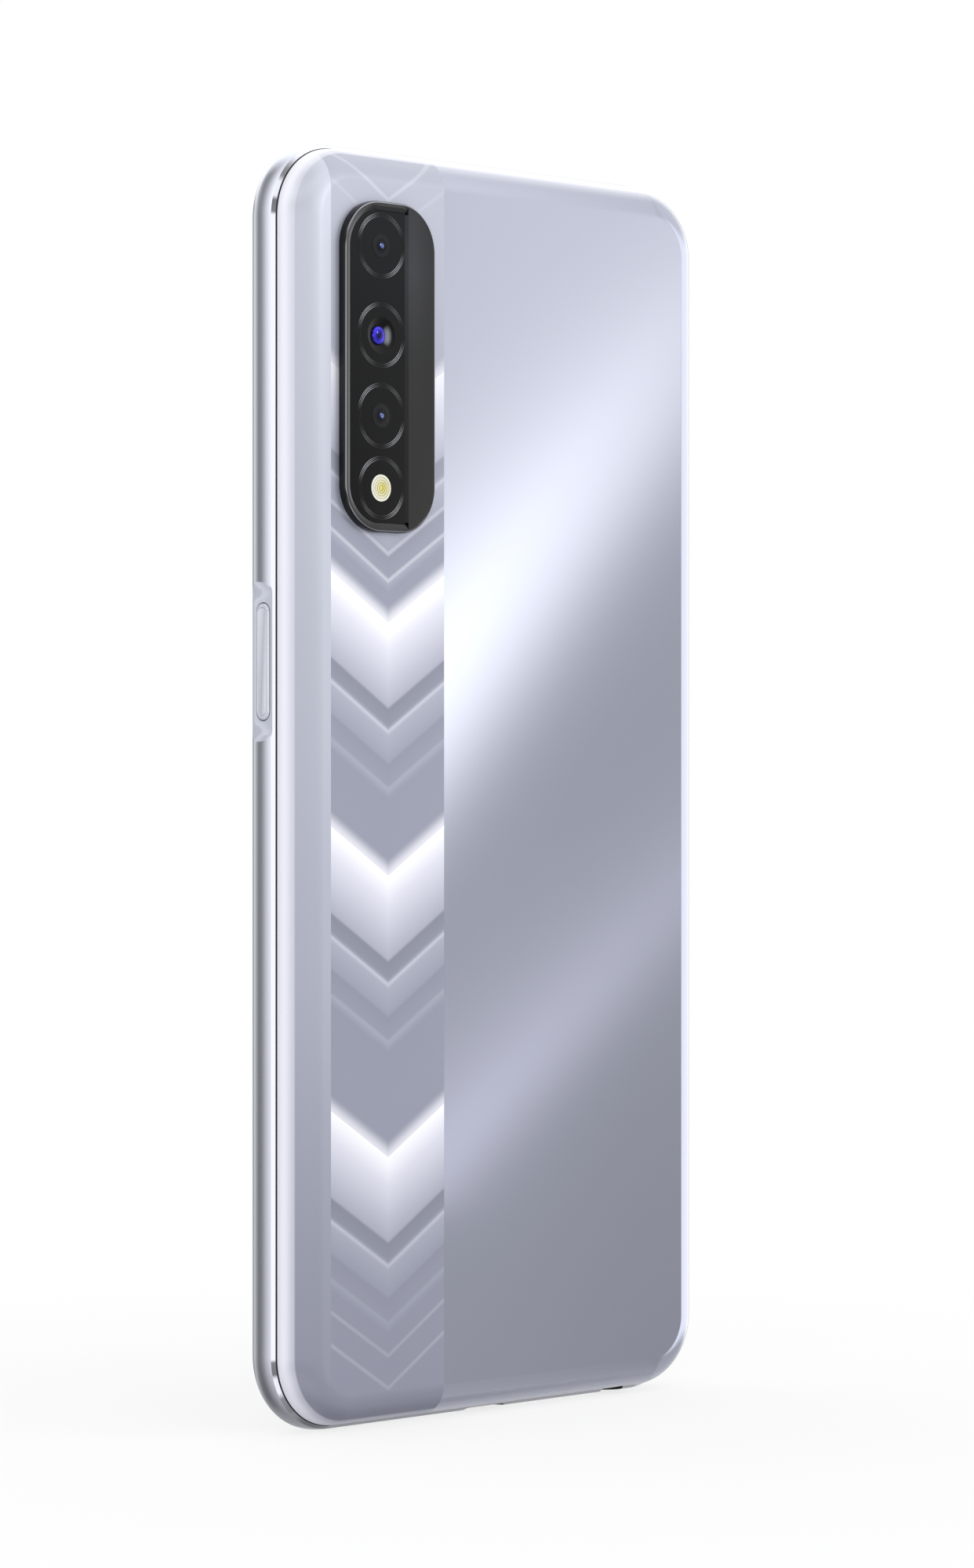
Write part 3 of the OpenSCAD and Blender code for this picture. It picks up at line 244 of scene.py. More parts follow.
# Shades down one chevron: (millimetres below its tip, hex)
CHEVRON = [(0.0, "FFFFFF"), (1.0, "F7F7FE"), (3.6, "DEDFEB"), (7.0, "C6C8D6"), (10.6, "ACAEBF"),
           (11.0, "868999"), (13.0, "8D90A0"), (13.4, "9DA0B0"), (13.7, "C6C8D6"),
           (14.3, "A9ACBC"), (17.6, "9A9DAE"), (18.0, "8F92A3"), (20.6, "9598A9"),
           (21.0, "A3A6B6"), (21.9, "989BAC"), (22.4, "9396A7"), (29.0, "9598A9"), (40.0, "9598A9")]
TIPS = (128.0, 101.9, 69.95, 34.4)
ARM_SLOPE = 0.638
# thin light lines between the chevrons: (height of their tip, strength)
FINE_LINES = ((155.3, 0.45), (150.9, 0.2), (110.6, 0.25), (107.2, 0.3), (9.3, 0.2), (5.2, 0.25))


def pearl_film():
    """Silver pearl film under clear gloss: metal flakes give the plain part a soft mirror, and
    the printed stripe with its chevrons shows its own shades. Painted light: the stripe and the
    strip past it are painted paler upwards and darker downwards as a reflection, the curved border
    carries a painted reflection, and the film's rim a painted white highlight."""
    made, tree, shader = new_material("pearl_film", "A6A9B9")
    x, _, z = object_axes(tree)[:3]
    off = maths(tree, "ABSOLUTE", minus(tree, x, STRIPE_MID))
    down = minus(tree, z, times(tree, off, ARM_SLOPE))
    nearest, above = None, None
    for tip in TIPS:
        below = minus(tree, tip, down)
        # a tip that lies below this point counts as far away
        far = maths(tree, "MULTIPLY_ADD", maths(tree, "LESS_THAN", below, 0.0), 1000.0, below)
        nearest = far if nearest is None else maths(tree, "MINIMUM", nearest, far)
        over = maths(tree, "MAXIMUM", times(tree, below, -1.0), 0.0)
        over = maths(tree, "MULTIPLY_ADD", maths(tree, "GREATER_THAN", below, 0.0), 1000.0, over)
        above = over if above is None else maths(tree, "MINIMUM", above, over)
    chevron = ramp(tree, maths(tree, "DIVIDE", nearest, 40.0, clamp=True),
                   [(mm / 40, shade) for mm, shade in CHEVRON])
    # the light edge of each tip glows a little into the dark above it
    glow = between(tree, above, 0.0, 2.2, 0.75, 0.0)
    chevron = mixed(tree, glow, chevron, srgb("F4F4FC"))
    for tip, strength in FINE_LINES:
        near = maths(tree, "ABSOLUTE", minus(tree, down, tip))
        near = between(tree, near, 0.1, 0.45, strength, 0.0)
        chevron = mixed(tree, near, chevron, srgb("F4F4FC"))
    # painted reflection: the stripe is painted paler towards the top edge, and darker towards the
    # bottom
    chevron = mixed(tree, between(tree, z, 105.0, 158.0, 0.0, 0.66), chevron, srgb("C3C6D3"))
    chevron = mixed(tree, between(tree, z, 0.0, 34.0, 0.55, 0.0), chevron, srgb("8F91A2"))
    # painted reflection: past the stripe the film is painted darker at the bottom and paler towards
    # the top, over its own grey
    left = ramp(tree, maths(tree, "DIVIDE", z, BODY_H),
                [(0.0, "9294A4"), (0.15, "9B9EAE"), (0.35, "AFB2C1"), (0.6, "BCC0CD"),
                 (1.0, "CFD3DF")])
    in_stripe = maths(tree, "GREATER_THAN", x, STRIPE_X0)
    past = maths(tree, "GREATER_THAN", x, STRIPE_X1)
    colour = mixed(tree, in_stripe, srgb("A9ACBB"), chevron)
    colour = mixed(tree, past, colour, left)
    inset = inset_of(tree, x, z)
    # painted highlight: a white band along the film's rim
    rim = times(tree, between(tree, inset, 0.8, 1.55, 1.0, 0.45),
                between(tree, inset, 1.5, 1.66, 1.0, 0.0))
    colour = mixed(tree, rim, colour, srgb("F4F5FF"))
    # painted reflection: the curved border beside the stripe is painted paler softly towards the
    # seam
    border = minus(tree, 1.0, in_stripe)
    pale = times(tree, between(tree, inset, 0.8, 3.0, 0.85, 0.0), border)
    colour = mixed(tree, pale, colour, srgb("E6E8F4"))
    metal = mixed_value(tree, in_stripe, 0.92, 0.3)
    # less metal under the painted rim highlight, so that its white shows
    metal = mixed_value(tree, rim, metal, 0.3)
    # less metal under the painted reflection of the curved border
    dull = times(tree, between(tree, inset, 1.2, 4.2, 1.0, 0.0), border)
    metal = mixed_value(tree, dull, metal, 0.15)
    rough = mixed_value(tree, in_stripe, 0.1, 0.38)
    paint(shader, colour)
    tree.links.new(metal, shader.inputs["Metallic"])
    tree.links.new(rough, shader.inputs["Roughness"])
    return made


def cone_alloy():
    """Turned black alloy round the main lens, with a painted highlight: a bright crescent on one
    side of its cone.
    """
    made, tree, shader = new_material("turned_cone", "0D0D0F", 0.15, Metallic=0.2, Roughness=0.35)
    across, up = from_axes(tree, (MAIN_Z,))
    out = distance(tree, across, up)
    turn = maths(tree, "DIVIDE", across, maths(tree, "MAXIMUM", out, 0.1))
    # painted highlight: a light crescent on the cone's side towards -X
    painted_crescent = times(tree, between(tree, turn, -1.0, -0.6, 1.0, 0.0),
                between(tree, out, 1.55, 2.1, 1.0, 0.0))
    paint(shader, mixed(tree, painted_crescent, srgb("0B0B0D"), srgb("85868D")))
    return made


def smoked_disc():
    """Smoked cover over a small camera: hardly lighter than the pane, and black in its middle."""
    made, tree, shader = new_material("smoked_disc", "17181A", 0.12, Roughness=0.06)
    across, up = from_axes(tree, (TOP_Z, LOW_Z))
    out = maths(tree, "DIVIDE", distance(tree, across, up), SMALL_R, clamp=True)
    paint(shader, ramp(tree, out, [(0.0, "060607"), (0.35, "0A0A0C"), (0.75, "222327"),
                                   (1.0, "131417")]))
    return made


def printed_glass():
    """Coated glass over black print: deep black with a weak reflection, paler at its top."""
    made, tree, shader = new_material("printed_glass", "1E1F23", 0.12, Roughness=0.04)
    z = object_axes(tree)[2]
    paint(shader, ramp(tree, between(tree, z, 113.0, 155.0, soft=False),
                       [(0.0, "040405"), (0.35, "0A0B0C"), (0.7, "101113"), (1.0, "16181C")]))
    return made


def screen_glass():
    """Clear glass over the dark display and its black printed border: deep gloss black, a touch
    lighter where the display lies behind it."""
    made, tree, shader = new_material("screen_glass", "050506", Roughness=0.03)
    x, _, z = object_axes(tree)[:3]
    inset = inset_of(tree, x, z)
    top = BODY_H - FOREHEAD
    across, up = minus(tree, x, PUNCH_X), minus(tree, z, PUNCH_Z)
    out = distance(tree, across, up)
    on = times(tree, between(tree, inset, 3.3, 3.5), between(tree, z, CHIN, CHIN + 0.2),
               between(tree, z, top - 0.2, top, 1.0, 0.0),
               between(tree, out, PUNCH_R - 0.05, PUNCH_R + 0.05))
    paint(shader, mixed(tree, on, srgb("030304"), srgb("121318")))
    return made


def strip_lacquer():
    """Smoked lacquer on the island's side strip, grey at its upper half and black below."""
    made, tree, shader = new_material("strip_lacquer", "222326", 0.25, Roughness=0.2)
    x, _, z = object_axes(tree)[:3]
    tone = ramp(tree, between(tree, z, 113.0, 155.0, soft=False),
                [(0.0, "0B0B0C"), (0.3, "121213"), (0.55, "1C1D1F"), (0.8, "34353A"),
                 (1.0, "2B2C30")])
    paint(shader, mixed(tree, between(tree, x, 15.0, 18.6, 0.6, 0.0), tone, srgb("101011")))
    return made


def from_axes(tree, centres):
    """Offsets across and up from the nearest of the lens axes, in millimetres."""
    x, _, z = object_axes(tree)[:3]
    up = None
    for centre in centres:
        gap = minus(tree, z, centre)
        near = maths(tree, "LESS_THAN", maths(tree, "ABSOLUTE", gap), 4.6)
        part = times(tree, gap, near)
        up = part if up is None else plus(tree, up, part)
    return minus(tree, x, LENS_X), up


def turned_rings(name):
    """Fine turned rings in black alloy, with painted highlights: each circle is painted bright on
    two opposite sides, where the grooves of a turned face would catch the light."""
    made, tree, shader = new_material(name, "3A3B3E", Metallic=0.4, Roughness=0.3)
    across, up = from_axes(tree, (TOP_Z, MAIN_Z, LOW_Z, FLASH_Z))
    turn = maths(tree, "ARCTAN2", up, across)
    # painted highlights: two bright sides on each ring, and a fainter second pair
    def glint(place, sharp):
        wave = maths(tree, "COSINE", maths(tree, "MULTIPLY_ADD", turn, 2.0, place))
        return maths(tree, "POWER", maths(tree, "MAXIMUM", wave, 0.0), sharp)
    faint = times(tree, glint(-4.5, 4.0), 0.3)
    both = plus(tree, glint(-1.65, 2.5), faint, clamp=True)
    paint(shader, mixed(tree, both, srgb("101112"), srgb("B4B6BB")))
    return made


def coated_lens(name, size, stops):
    """Coated glass element: a dark middle, and the violet-blue that its coating reflects. The
    stops run from the lens's middle to its rim."""
    made, tree, shader = new_material(name, "1A1590", Metallic=0.75, Roughness=0.05)
    across, up = from_axes(tree, (TOP_Z, MAIN_Z, LOW_Z))
    out = distance(tree, across, up)
    paint(shader, ramp(tree, maths(tree, "DIVIDE", out, size, clamp=True), stops))
    return made


def flash_lens_clear():
    """Clear ribbed lens over a yellow diode: pale, yellow in its middle."""
    made, tree, shader = new_material("ribbed_lens", "F2F0DC", Roughness=0.25)
    x, _, z = object_axes(tree)[:3]
    across = minus(tree, x, LENS_X - 0.25)
    up = minus(tree, z, FLASH_Z)
    out = distance(tree, across, up)
    ribs = maths(tree, "SINE", times(tree, out, 2 * math.pi / 0.34))
    tone = ramp(tree, maths(tree, "DIVIDE", out, 2.0, clamp=True),
                [(0.0, "E0D860"), (0.3, "E6E096"), (0.6, "EDEBCF"), (0.9, "F4F4EA"),
                 (1.0, "C9C9BE")])
    tone = mixed(tree, between(tree, ribs, -1.0, 1.0, 0.16, 0.0), tone, srgb("8A8870"))
    paint(shader, tone)
    return made


# slot or surface: name, hex, metallic, roughness, how it was made, grain in millimetres
FINISHES = {
    "key_plastic": ("lacquered_key", "DADDE8", 0.4, 0.22, "moulded", 0.5),
    "sensor_coating": ("sensor_coat", "DEE1EB", 0.4, 0.16, "moulded", 0.4),
    "display_black": ("display_panel", "08080A", 0.0, 0.25, "moulded", 1.0),
    "backlight_white": ("reflector_film", "E4E6EA", 0.0, 0.5, "moulded", 2.0),
    "black_tape": ("foam_tape", "101010", 0.0, 0.9, "foamed", 0.15),
    "led_yellow": ("phosphor", "F2D45C", 0.0, 0.6, "foamed", 0.1),
    "camera_black": ("anodised_barrel", "26272A", 0.8, 0.32, "turned", 0.12),
    "chassis_alloy": ("cast_magnesium", "8F9196", 1.0, 0.5, "foamed", 0.6),
    "steel_sheet": ("stamped_steel", "BFC1C4", 1.0, 0.3, "brushed", 0.2),
    "gold_spring": ("gilt_bronze", "CFA85A", 1.0, 0.25, "brushed", 0.15),
    "dark_mesh": ("woven_steel", "3E3F43", 1.0, 0.45, "woven", 0.16),
    "seal_rubber": ("silicone_seal", "17171A", 0.0, 0.6, "moulded", 0.3),
    "board_green": ("solder_resist", "0A2F3C", 0.0, 0.4, "traced", 1.1),
    "connector_black": ("connector_nylon", "121214", 0.0, 0.5, "moulded", 0.3),
    "inner_plastic": ("glass_filled_nylon", "1E1E21", 0.0, 0.55, "moulded", 0.25),
    "battery_film": ("pouch_film", "17171A", 0.0, 0.4, "foamed", 3.0),
    "flex_amber": ("polyimide", "A8691F", 0.0, 0.25, "traced", 0.5),
    "graphite": ("graphite_film", "2A2A2D", 0.4, 0.5, "brushed", 0.5),
    # silver lacquer on moulded plastic: smooth, with fine flakes that widen its highlights
    "frame_plastic": ("lacquered_frame", "D6D9E4", 0.92, 0.1, "sprayed", 0.3),
    # the same lacquer, sprayed thinner in the power key's flat: paler and less like a mirror
    "recess": ("recess_lacquer", "D5D9E6", 0.35, 0.25, "sprayed", 0.3),
    # diamond-cut and polished edge of the frame: a narrow, clean mirror
    "polish": ("polished_edge", "DDDFE8", 1.0, 0.07, "polished", 0.2),
    # black anodised alloy with a gloss lacquer: nearly black, with sharp reflections
    "bezel_black": ("island_black", "101113", 0.3, 0.14, "sprayed", 0.2),
    # diamond-cut edge of the island's black alloy: a thin bright line round its top
    "cut_edge": ("island_cut_edge", "86898F", 1.0, 0.16, "polished", 0.15),
    # blue-black coating on the front camera
    "front_lens": ("front_camera_lens", "0D1030", 0.6, 0.06, "polished", 0.3),
}


# how a finish is made: how strongly its marks show, and how they stretch along the three axes
MARKS = {
    "sprayed": (0.06, (1, 1, 1)), "polished": (0.05, (1, 1, 0.06)), "moulded": (0.1, (1, 1, 1)),
    "turned": (0.3, (1, 12, 1)), "brushed": (0.35, (1, 1, 0.06)), "foamed": (0.4, (1, 1, 1)),
    "woven": (0.5, (1, 1, 1)), "traced": (0.5, (1, 1, 1))}


def worked(name, colour, metallic, roughness, made_how, grain):
    """A finish with the marks of how it was made: sprayed lacquer is faintly uneven, polished
    metal keeps traces of its lines, moulded parts have a fine even grain, foam and
    castings a coarse one, sheet is brushed along its length, turned parts carry fine rings,
    mesh is woven and boards carry traces."""
    made, tree, shader = new_material(name, colour, Metallic=metallic, Roughness=roughness)
    place = add_node(tree, "ShaderNodeTexCoord").outputs["Object"]
    strength, stretch = MARKS[made_how]
    scaled = add_node(tree, "ShaderNodeMapping", None, Vector=place,
                      Scale=[1000 * part / grain for part in stretch]).outputs[0]
    if made_how == "woven":
        marks = add_node(tree, "ShaderNodeTexChecker", None, Vector=scaled, Scale=1.0).outputs[1]
    elif made_how == "traced":
        wave = add_node(tree, "ShaderNodeTexWave", {"bands_direction": "DIAGONAL"}, Vector=scaled,
                        Scale=0.3, Distortion=3.0, Detail=1.0, Detail_Scale=0.4).outputs[1]
        marks = maths(tree, "GREATER_THAN", wave, 0.6)
    else:
        marks = add_node(tree, "ShaderNodeTexNoise", None, Vector=scaled, Scale=1.0,
                         Detail=3.0).outputs[0]
    dark = [part * (1 - 0.45 * strength) for part in srgb(colour)[:3]] + [1.0]
    light = [min(1.0, part * (1 + 0.3 * strength)) for part in srgb(colour)[:3]] + [1.0]
    paint(shader, mixed(tree, marks, dark, light))
    tree.links.new(between(tree, marks, 0.0, 1.0, min(1.0, roughness * (1 + 0.4 * strength)),
                           roughness * (1 - 0.4 * strength)), shader.inputs["Roughness"])
    if strength > 0.2:
        bump = add_node(tree, "ShaderNodeBump", None, Strength=0.25 * strength, Distance=0.00003,
                        Height=marks)
        tree.links.new(bump.outputs[0], shader.inputs["Normal"])
    return made


# ---------- mesh helpers ----------

def outline(inset, w=BODY_W, h=BODY_H, r=CORNER_R, cx=0.0, cz=MID_Z, arc=ARC):
    """Points of a rounded rectangle drawn in by inset. Every ring of one piece has the same
    number of points in the same order, so that rings can be joined point to point."""
    points = []
    radius = max(r - inset, 0.0)
    half_w, half_h = w / 2 - max(r, inset), h / 2 - max(r, inset)
    for turn, (sx, sz) in enumerate(((1, 1), (-1, 1), (-1, -1), (1, -1))):
        for i in range(arc + 1):
            angle = math.pi / 2 * (turn + i / arc)
            points.append((cx + sx * half_w + radius * math.cos(angle),
                           cz + sz * half_h + radius * math.sin(angle)))
    return points


def mesh_object(name, vertices, faces, materials, indices=None):
    """An object at the origin whose vertices are given in millimetres."""
    data = bpy.data.meshes.new(name)
    data.from_pydata([Vector(v) * MM for v in vertices], [], faces)
    for material in materials:
        data.materials.append(material)
    if indices:
        data.polygons.foreach_set("material_index", indices)
    data.update()
    return new_object(name, data)


def tidy(made, merge=1e-7):
    """Merges doubles and turns all faces outwards."""
    work = bmesh.new()
    work.from_mesh(made.data)
    bmesh.ops.remove_doubles(work, verts=work.verts, dist=merge)
    bmesh.ops.recalc_face_normals(work, faces=work.faces)
    work.to_mesh(made.data)
    work.free()
    return made


def swept(name, profile, ring, materials, closed=False, caps=(False, False), marks=None):
    """Joins one ring of points for each profile point (inset, y); marks gives the material of
    the strip that follows each point."""
    vertices, faces, indices = [], [], []
    marks = marks or [0] * len(profile)
    for inset, y in profile:
        vertices += [(x, y, z) for x, z in ring(inset)]
    count = len(vertices) // len(profile)
    for k in range(len(profile) if closed else len(profile) - 1):
        a, b = k * count, (k + 1) % len(profile) * count
        for i in range(count):
            j = (i + 1) % count
            faces.append((a + i, a + j, b + j, b + i))
            indices.append(marks[k])
    if caps[0]:
        faces.append(tuple(range(count)))
        indices.append(marks[0])
    if caps[1]:
        faces.append(tuple(reversed(range(len(vertices) - count, len(vertices)))))
        indices.append(marks[-1])
    return tidy(mesh_object(name, vertices, faces, materials, indices))


def smooth(made, angle=30):
    """Smooth shading, with edges over the angle kept sharp."""
    made.data.polygons.foreach_set("use_smooth", [True] * len(made.data.polygons))
    made.data.set_sharp_from_angle(angle=math.radians(angle))
    return made


def curved_normals(made, radial):
    """Gives faces that the cuts left on a swept skin the normals of the uncut skin. radial(inset,
    y, flat normal) returns the profile's normal as (outward, y), or None for a cut's own face."""
    data = made.data
    normals = []
    for face in data.polygons:
        middle = face.center / MM
        mx, mz = abs(middle.x) - RUN_X, abs(middle.z - MID_Z) - RUN_Z
        for corner in face.loop_indices:
            place = data.vertices[data.loops[corner].vertex_index].co / MM
            qx, qz = abs(place.x) - RUN_X, abs(place.z - MID_Z) - RUN_Z
            if mx > 0 and mz > 0:
                away = Vector((math.copysign(max(qx, 0), place.x), 0,
                               math.copysign(max(qz, 0), place.z - MID_Z)))
                inset = CORNER_R - away.length
                away = away.normalized() if away.length > 1e-6 else Vector((1, 0, 0))
            elif mx > mz:
                inset, away = CORNER_R - qx, Vector((math.copysign(1, place.x), 0, 0))
            else:
                inset, away = CORNER_R - qz, Vector((0, 0, math.copysign(1, place.z - MID_Z)))
            found = radial(inset, place.y, face.normal.dot(away), face.normal.y)
            normals.append(face.normal.copy() if found is None else
                           (away * found[0] + Vector((0, found[1], 0))).normalized())
    data.polygons.foreach_set("use_smooth", [True] * len(data.polygons))
    data.normals_split_custom_set(normals)
    return made


def plain_mesh(made):
    """Turns the evaluated object into its own plain mesh."""
    evaluated = made.evaluated_get(bpy.context.evaluated_depsgraph_get())
    result = bpy.data.meshes.new_from_object(evaluated)
    made.modifiers.clear()
    made.data = result
    return made


def cut(made, cutters):
    """Takes the cutters out of a piece, as exact solids."""
    for cutter in cutters:
        modifier = made.modifiers.new("cut", "BOOLEAN")
        modifier.operation, modifier.solver, modifier.object = "DIFFERENCE", "EXACT", cutter
        modifier.material_mode = "TRANSFER"
    bpy.context.view_layer.update()
    plain_mesh(made)
    for cutter in cutters:
        bpy.data.objects.remove(cutter)
    return made


def arc_points(cx, cy, r, a0, a1, steps):
    """Points of an arc; angles are in degrees."""
    return [(cx + r * math.cos(math.radians(a0 + (a1 - a0) * i / steps)),
             cy + r * math.sin(math.radians(a0 + (a1 - a0) * i / steps))) for i in range(steps + 1)]


def prism(name, points, low, high, axis, material):
    """A 2D outline given length along an axis: "x" takes (y, z) points, "y" (x, z), "z" (x, y)."""
    place = {"x": lambda p, d: (d, p[0], p[1]), "y": lambda p, d: (p[0], d, p[1]),
             "z": lambda p, d: (p[0], p[1], d)}[axis]
    n = len(points)
    vertices = [place(p, low) for p in points] + [place(p, high) for p in points]
    faces = [tuple(range(n)), tuple(range(n, 2 * n))]
    faces += [(i, (i + 1) % n, n + (i + 1) % n, n + i) for i in range(n)]
    return tidy(mesh_object(name, vertices, faces, [material]))


def slot_points(ca, cb, width, length, arc=16):
    """Slot with round ends, long in its second direction."""
    r, half = width / 2, (length - width) / 2
    turns = [math.pi * i / arc for i in range(arc + 1)]
    return ([(ca + r * math.cos(t), cb + half + r * math.sin(t)) for t in turns]
            + [(ca - r * math.cos(t), cb - half - r * math.sin(t)) for t in turns])


def turned_slot(ca, cb, width, length):
    """The same slot for an outline that takes the long direction first."""
    return [(q, p) for p, q in slot_points(ca, cb, width, length)]


def box(a0, a1, b0, b1):
    """A rectangle."""
    return [(a0, b0), (a1, b0), (a1, b1), (a0, b1)]


def dome(r, base, rise):
    """The profile of a low dome, from near its foot to its top, as (radius, y)."""
    turns = [math.radians(a) for a in range(15, 91, 15)]
    return [(r * math.cos(t), base + rise * math.sin(t)) for t in turns]


def disc_points(ca, cb, r, arc=48):
    """A circle."""
    return [(ca + r * math.cos(2 * math.pi * i / arc), cb + r * math.sin(2 * math.pi * i / arc))
            for i in range(arc)]


def dress(made, slot_name, *nodes, body="phone_body"):
    """Hands a finished piece to its body, in place of the nodes that it stands for."""
    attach(made, body)
    if nodes:
        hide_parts(*nodes)
    return made


def softened(node, slot_name, bevel, body):
    """A copy of a plain node with small round edges, which catch the light as real ones do."""
    source = NODES[node]
    made = source.copy()
    made.data = source.data.copy()
    made.parent = None
    for key in list(made.keys()):
        del made[key]
    made.name = node + "_dressed"
    bpy.context.scene.collection.objects.link(made)
    work = bmesh.new()
    work.from_mesh(made.data)
    bmesh.ops.remove_doubles(work, verts=work.verts, dist=1e-6)
    bmesh.ops.dissolve_limit(work, angle_limit=math.radians(1), verts=work.verts, edges=work.edges)
    work.to_mesh(made.data)
    work.free()
    modifier = made.modifiers.new("edges", "BEVEL")
    modifier.width, modifier.segments = bevel * MM, 2
    modifier.limit_method, modifier.angle_limit = "ANGLE", math.radians(35)
    modifier.harden_normals = True
    made.data.polygons.foreach_set("use_smooth", [True] * len(made.data.polygons))
    bpy.context.view_layer.update()
    plain_mesh(made)
    smooth(made, 40)
    return dress(made, slot_name, node, body=body)


# ---------- pieces ----------

def cover_normal(inset, y, out, back):
    """Normal of the cover's curved edge and flat back."""
    if back < -0.2 or y < SEAM_Y + 0.05 or (out < -0.3 and back < 0.9):
        return None
    if y > BACK_Y - 1e-4 and back > 0.99:
        return 0.0, 1.0
    if inset > SEAM_INSET + COVER_R + 0.01 or y > BACK_Y + 1e-3:
        return None
    centre = SEAM_INSET + COVER_R
    a, b = (centre - inset) / COVER_R, (y - SEAM_Y) / COVER_R
    if abs(math.hypot(a, b) - 1) > 0.02:
        return None
    return a, b


def back_cover(film, inner):
    """The cover's curved shell, one ring of points for each step of its edge."""
    centre = SEAM_INSET + COVER_R
    outer = [(SEAM_INSET, SEAM_Y + SEAM_GAP)]
    outer += [p for p in arc_points(centre, SEAM_Y, COVER_R, 180, 90, 24)[1:]
              if p[1] > SEAM_Y + SEAM_GAP + 0.02]
    inside = [(LIP_IN + 1.2, BACK_Y - COVER_WALL), (LIP_IN, BACK_Y - COVER_WALL - 0.5)]
    lip = [(LIP_IN, LIP_FRONT), (LIP_OUT, LIP_FRONT), (LIP_OUT, SEAM_Y + SEAM_GAP)]
    profile = inside + lip + outer
    marks = [1] * (len(inside) + len(lip)) + [0] * len(outer)
    made = swept("back_cover_skin", profile, outline, [film, inner], caps=(True, True), marks=marks)
    hole = prism("island_hole", outline(0.7, *ISLAND, 12), 3.0, 5.5, "y", inner)
    jack = prism("jack_hole", disc_points(JACK_X, JACK_Y, JACK_R), -0.5, 3.2, "z", inner)
    port = prism("port_gap", box(-6.07, 6.07, -1, 1.3), 2.3, 3.4, "z", inner)
    cut(made, [hole, jack, port])
    curved_normals(made, cover_normal)
    return dress(made, "cover_plastic", "back_cover")


def frame_profile():
    """The side frame's closed outline as (inset, y), and the material of the strip after each."""
    start = FRONT_R - math.sqrt(FRONT_R ** 2 - (FRONT_R - FRAME_RIM) ** 2)
    front = [(FRAME_RIM, FRONT_Y + start)]
    front += [p for p in arc_points(FRONT_R, RIM_Y, FRONT_R, 270, 180, 28)
              if p[0] < FRAME_RIM - 0.02]
    bulge = []
    for i in range(1, 13):
        y = RIM_Y + (CREASE_Y - RIM_Y) * i / 12
        bulge.append((BULGE_R - math.sqrt(BULGE_R ** 2 - (y - RIM_Y) ** 2), y))
    # painted shade: the last tenth of the cut edge takes the dark inner material, which widens the
    # seam's dark line
    seam = [(bulge[-1][0] + SEAM_Y - CREASE_Y - 0.1, SEAM_Y - 0.1),
            (bulge[-1][0] + SEAM_Y - CREASE_Y, SEAM_Y)]
    inner = [(FRAME_WALL, SEAM_Y), (FRAME_WALL, PLATE_FRONT), (SHELF_REACH, PLATE_FRONT),
             (SHELF_REACH, SHELF_Y), (FRAME_RIM, SHELF_Y)]
    marks = [0] * (len(front) + len(bulge) - 1) + [1, 2, 2] + [2] * len(inner)
    return front + bulge + seam + inner, marks


def frame_normal(inset, y, out, back):
    """Normal of the frame's front arc, bulge and polished edge."""
    if out < 0.15 or inset > 0.9:
        return None
    if out < 0.85 and back > 0.5 and y > CREASE_Y - 0.01:
        return 0.7071, 0.7071
    if y <= RIM_Y + 1e-4:
        a, b = (FRONT_R - inset) / FRONT_R, (y - RIM_Y) / FRONT_R
        return (a, b) if abs(math.hypot(a, b) - 1) < 0.01 else None
    a, b = (BULGE_R - inset) / BULGE_R, (y - RIM_Y) / BULGE_R
    return (a, b) if abs(math.hypot(a, b) - 1) < 0.002 else None


def side_frame(lacquer, polish, wall, recess):
    """The swept frame, cut for the keys, the tray, the ports and their holes."""
    profile, marks = frame_profile()
    made = swept("side_frame_skin", profile, outline, [lacquer, polish, wall], closed=True,
                 marks=marks)
    def hole(name, x, y, r, low=-0.5, high=2.8):
        return prism(name, disc_points(x, y, r, 24), low, high, "z", wall)
    cutters = [
        prism("power_flat", slot_points(SIDE_X - POWER_CUT + 3, POWER_Z, 6, 23, 32),
              -5, 0.9, "y", recess),
        prism("power_pocket", slot_points(KEY_Y, POWER_Z, 2.54, 14.84), 35.9, 38.2, "x", wall),
        prism("tray_pocket", slot_points(FACE_Y, TRAY_Z, 2.36, 16.16), -38.2, -36.52, "x", wall),
        prism("tray_slot", box(FACE_Y - 0.25, FACE_Y + 1.25, TRAY_Z - 6.4, TRAY_Z + 6.4),
              -37, -35, "x", wall),
        prism("usb_slot", turned_slot(PORT_Y, 0, PORT_H, PORT_W), -0.5, 3.7, "z", wall),
        hole("jack_hole", JACK_X, JACK_Y, JACK_R), hole("low_mic_hole", LOW_MIC_X, HOLE_Y, MIC_R),
        hole("top_mic_hole", TOP_MIC_X, TOP_MIC_Y, MIC_R, BODY_H - 2.8, BODY_H + 0.7)]
    for side in (-1, 1):
        place = slot_points(KEY_Y, VOLUME_Z + side * VOLUME_STEP, 2.44, 10.24)
        cutters.append(prism("volume_pocket", place, -38.2, -35.9, "x", wall))
    cutters += [hole("speaker_hole", SPEAKER_X + SPEAKER_STEP * i, HOLE_Y, SPEAKER_R)
                for i in range(SPEAKER_HOLES)]
    cut(made, cutters)
    curved_normals(made, frame_normal)
    return dress(made, "frame_plastic", "side_frame")


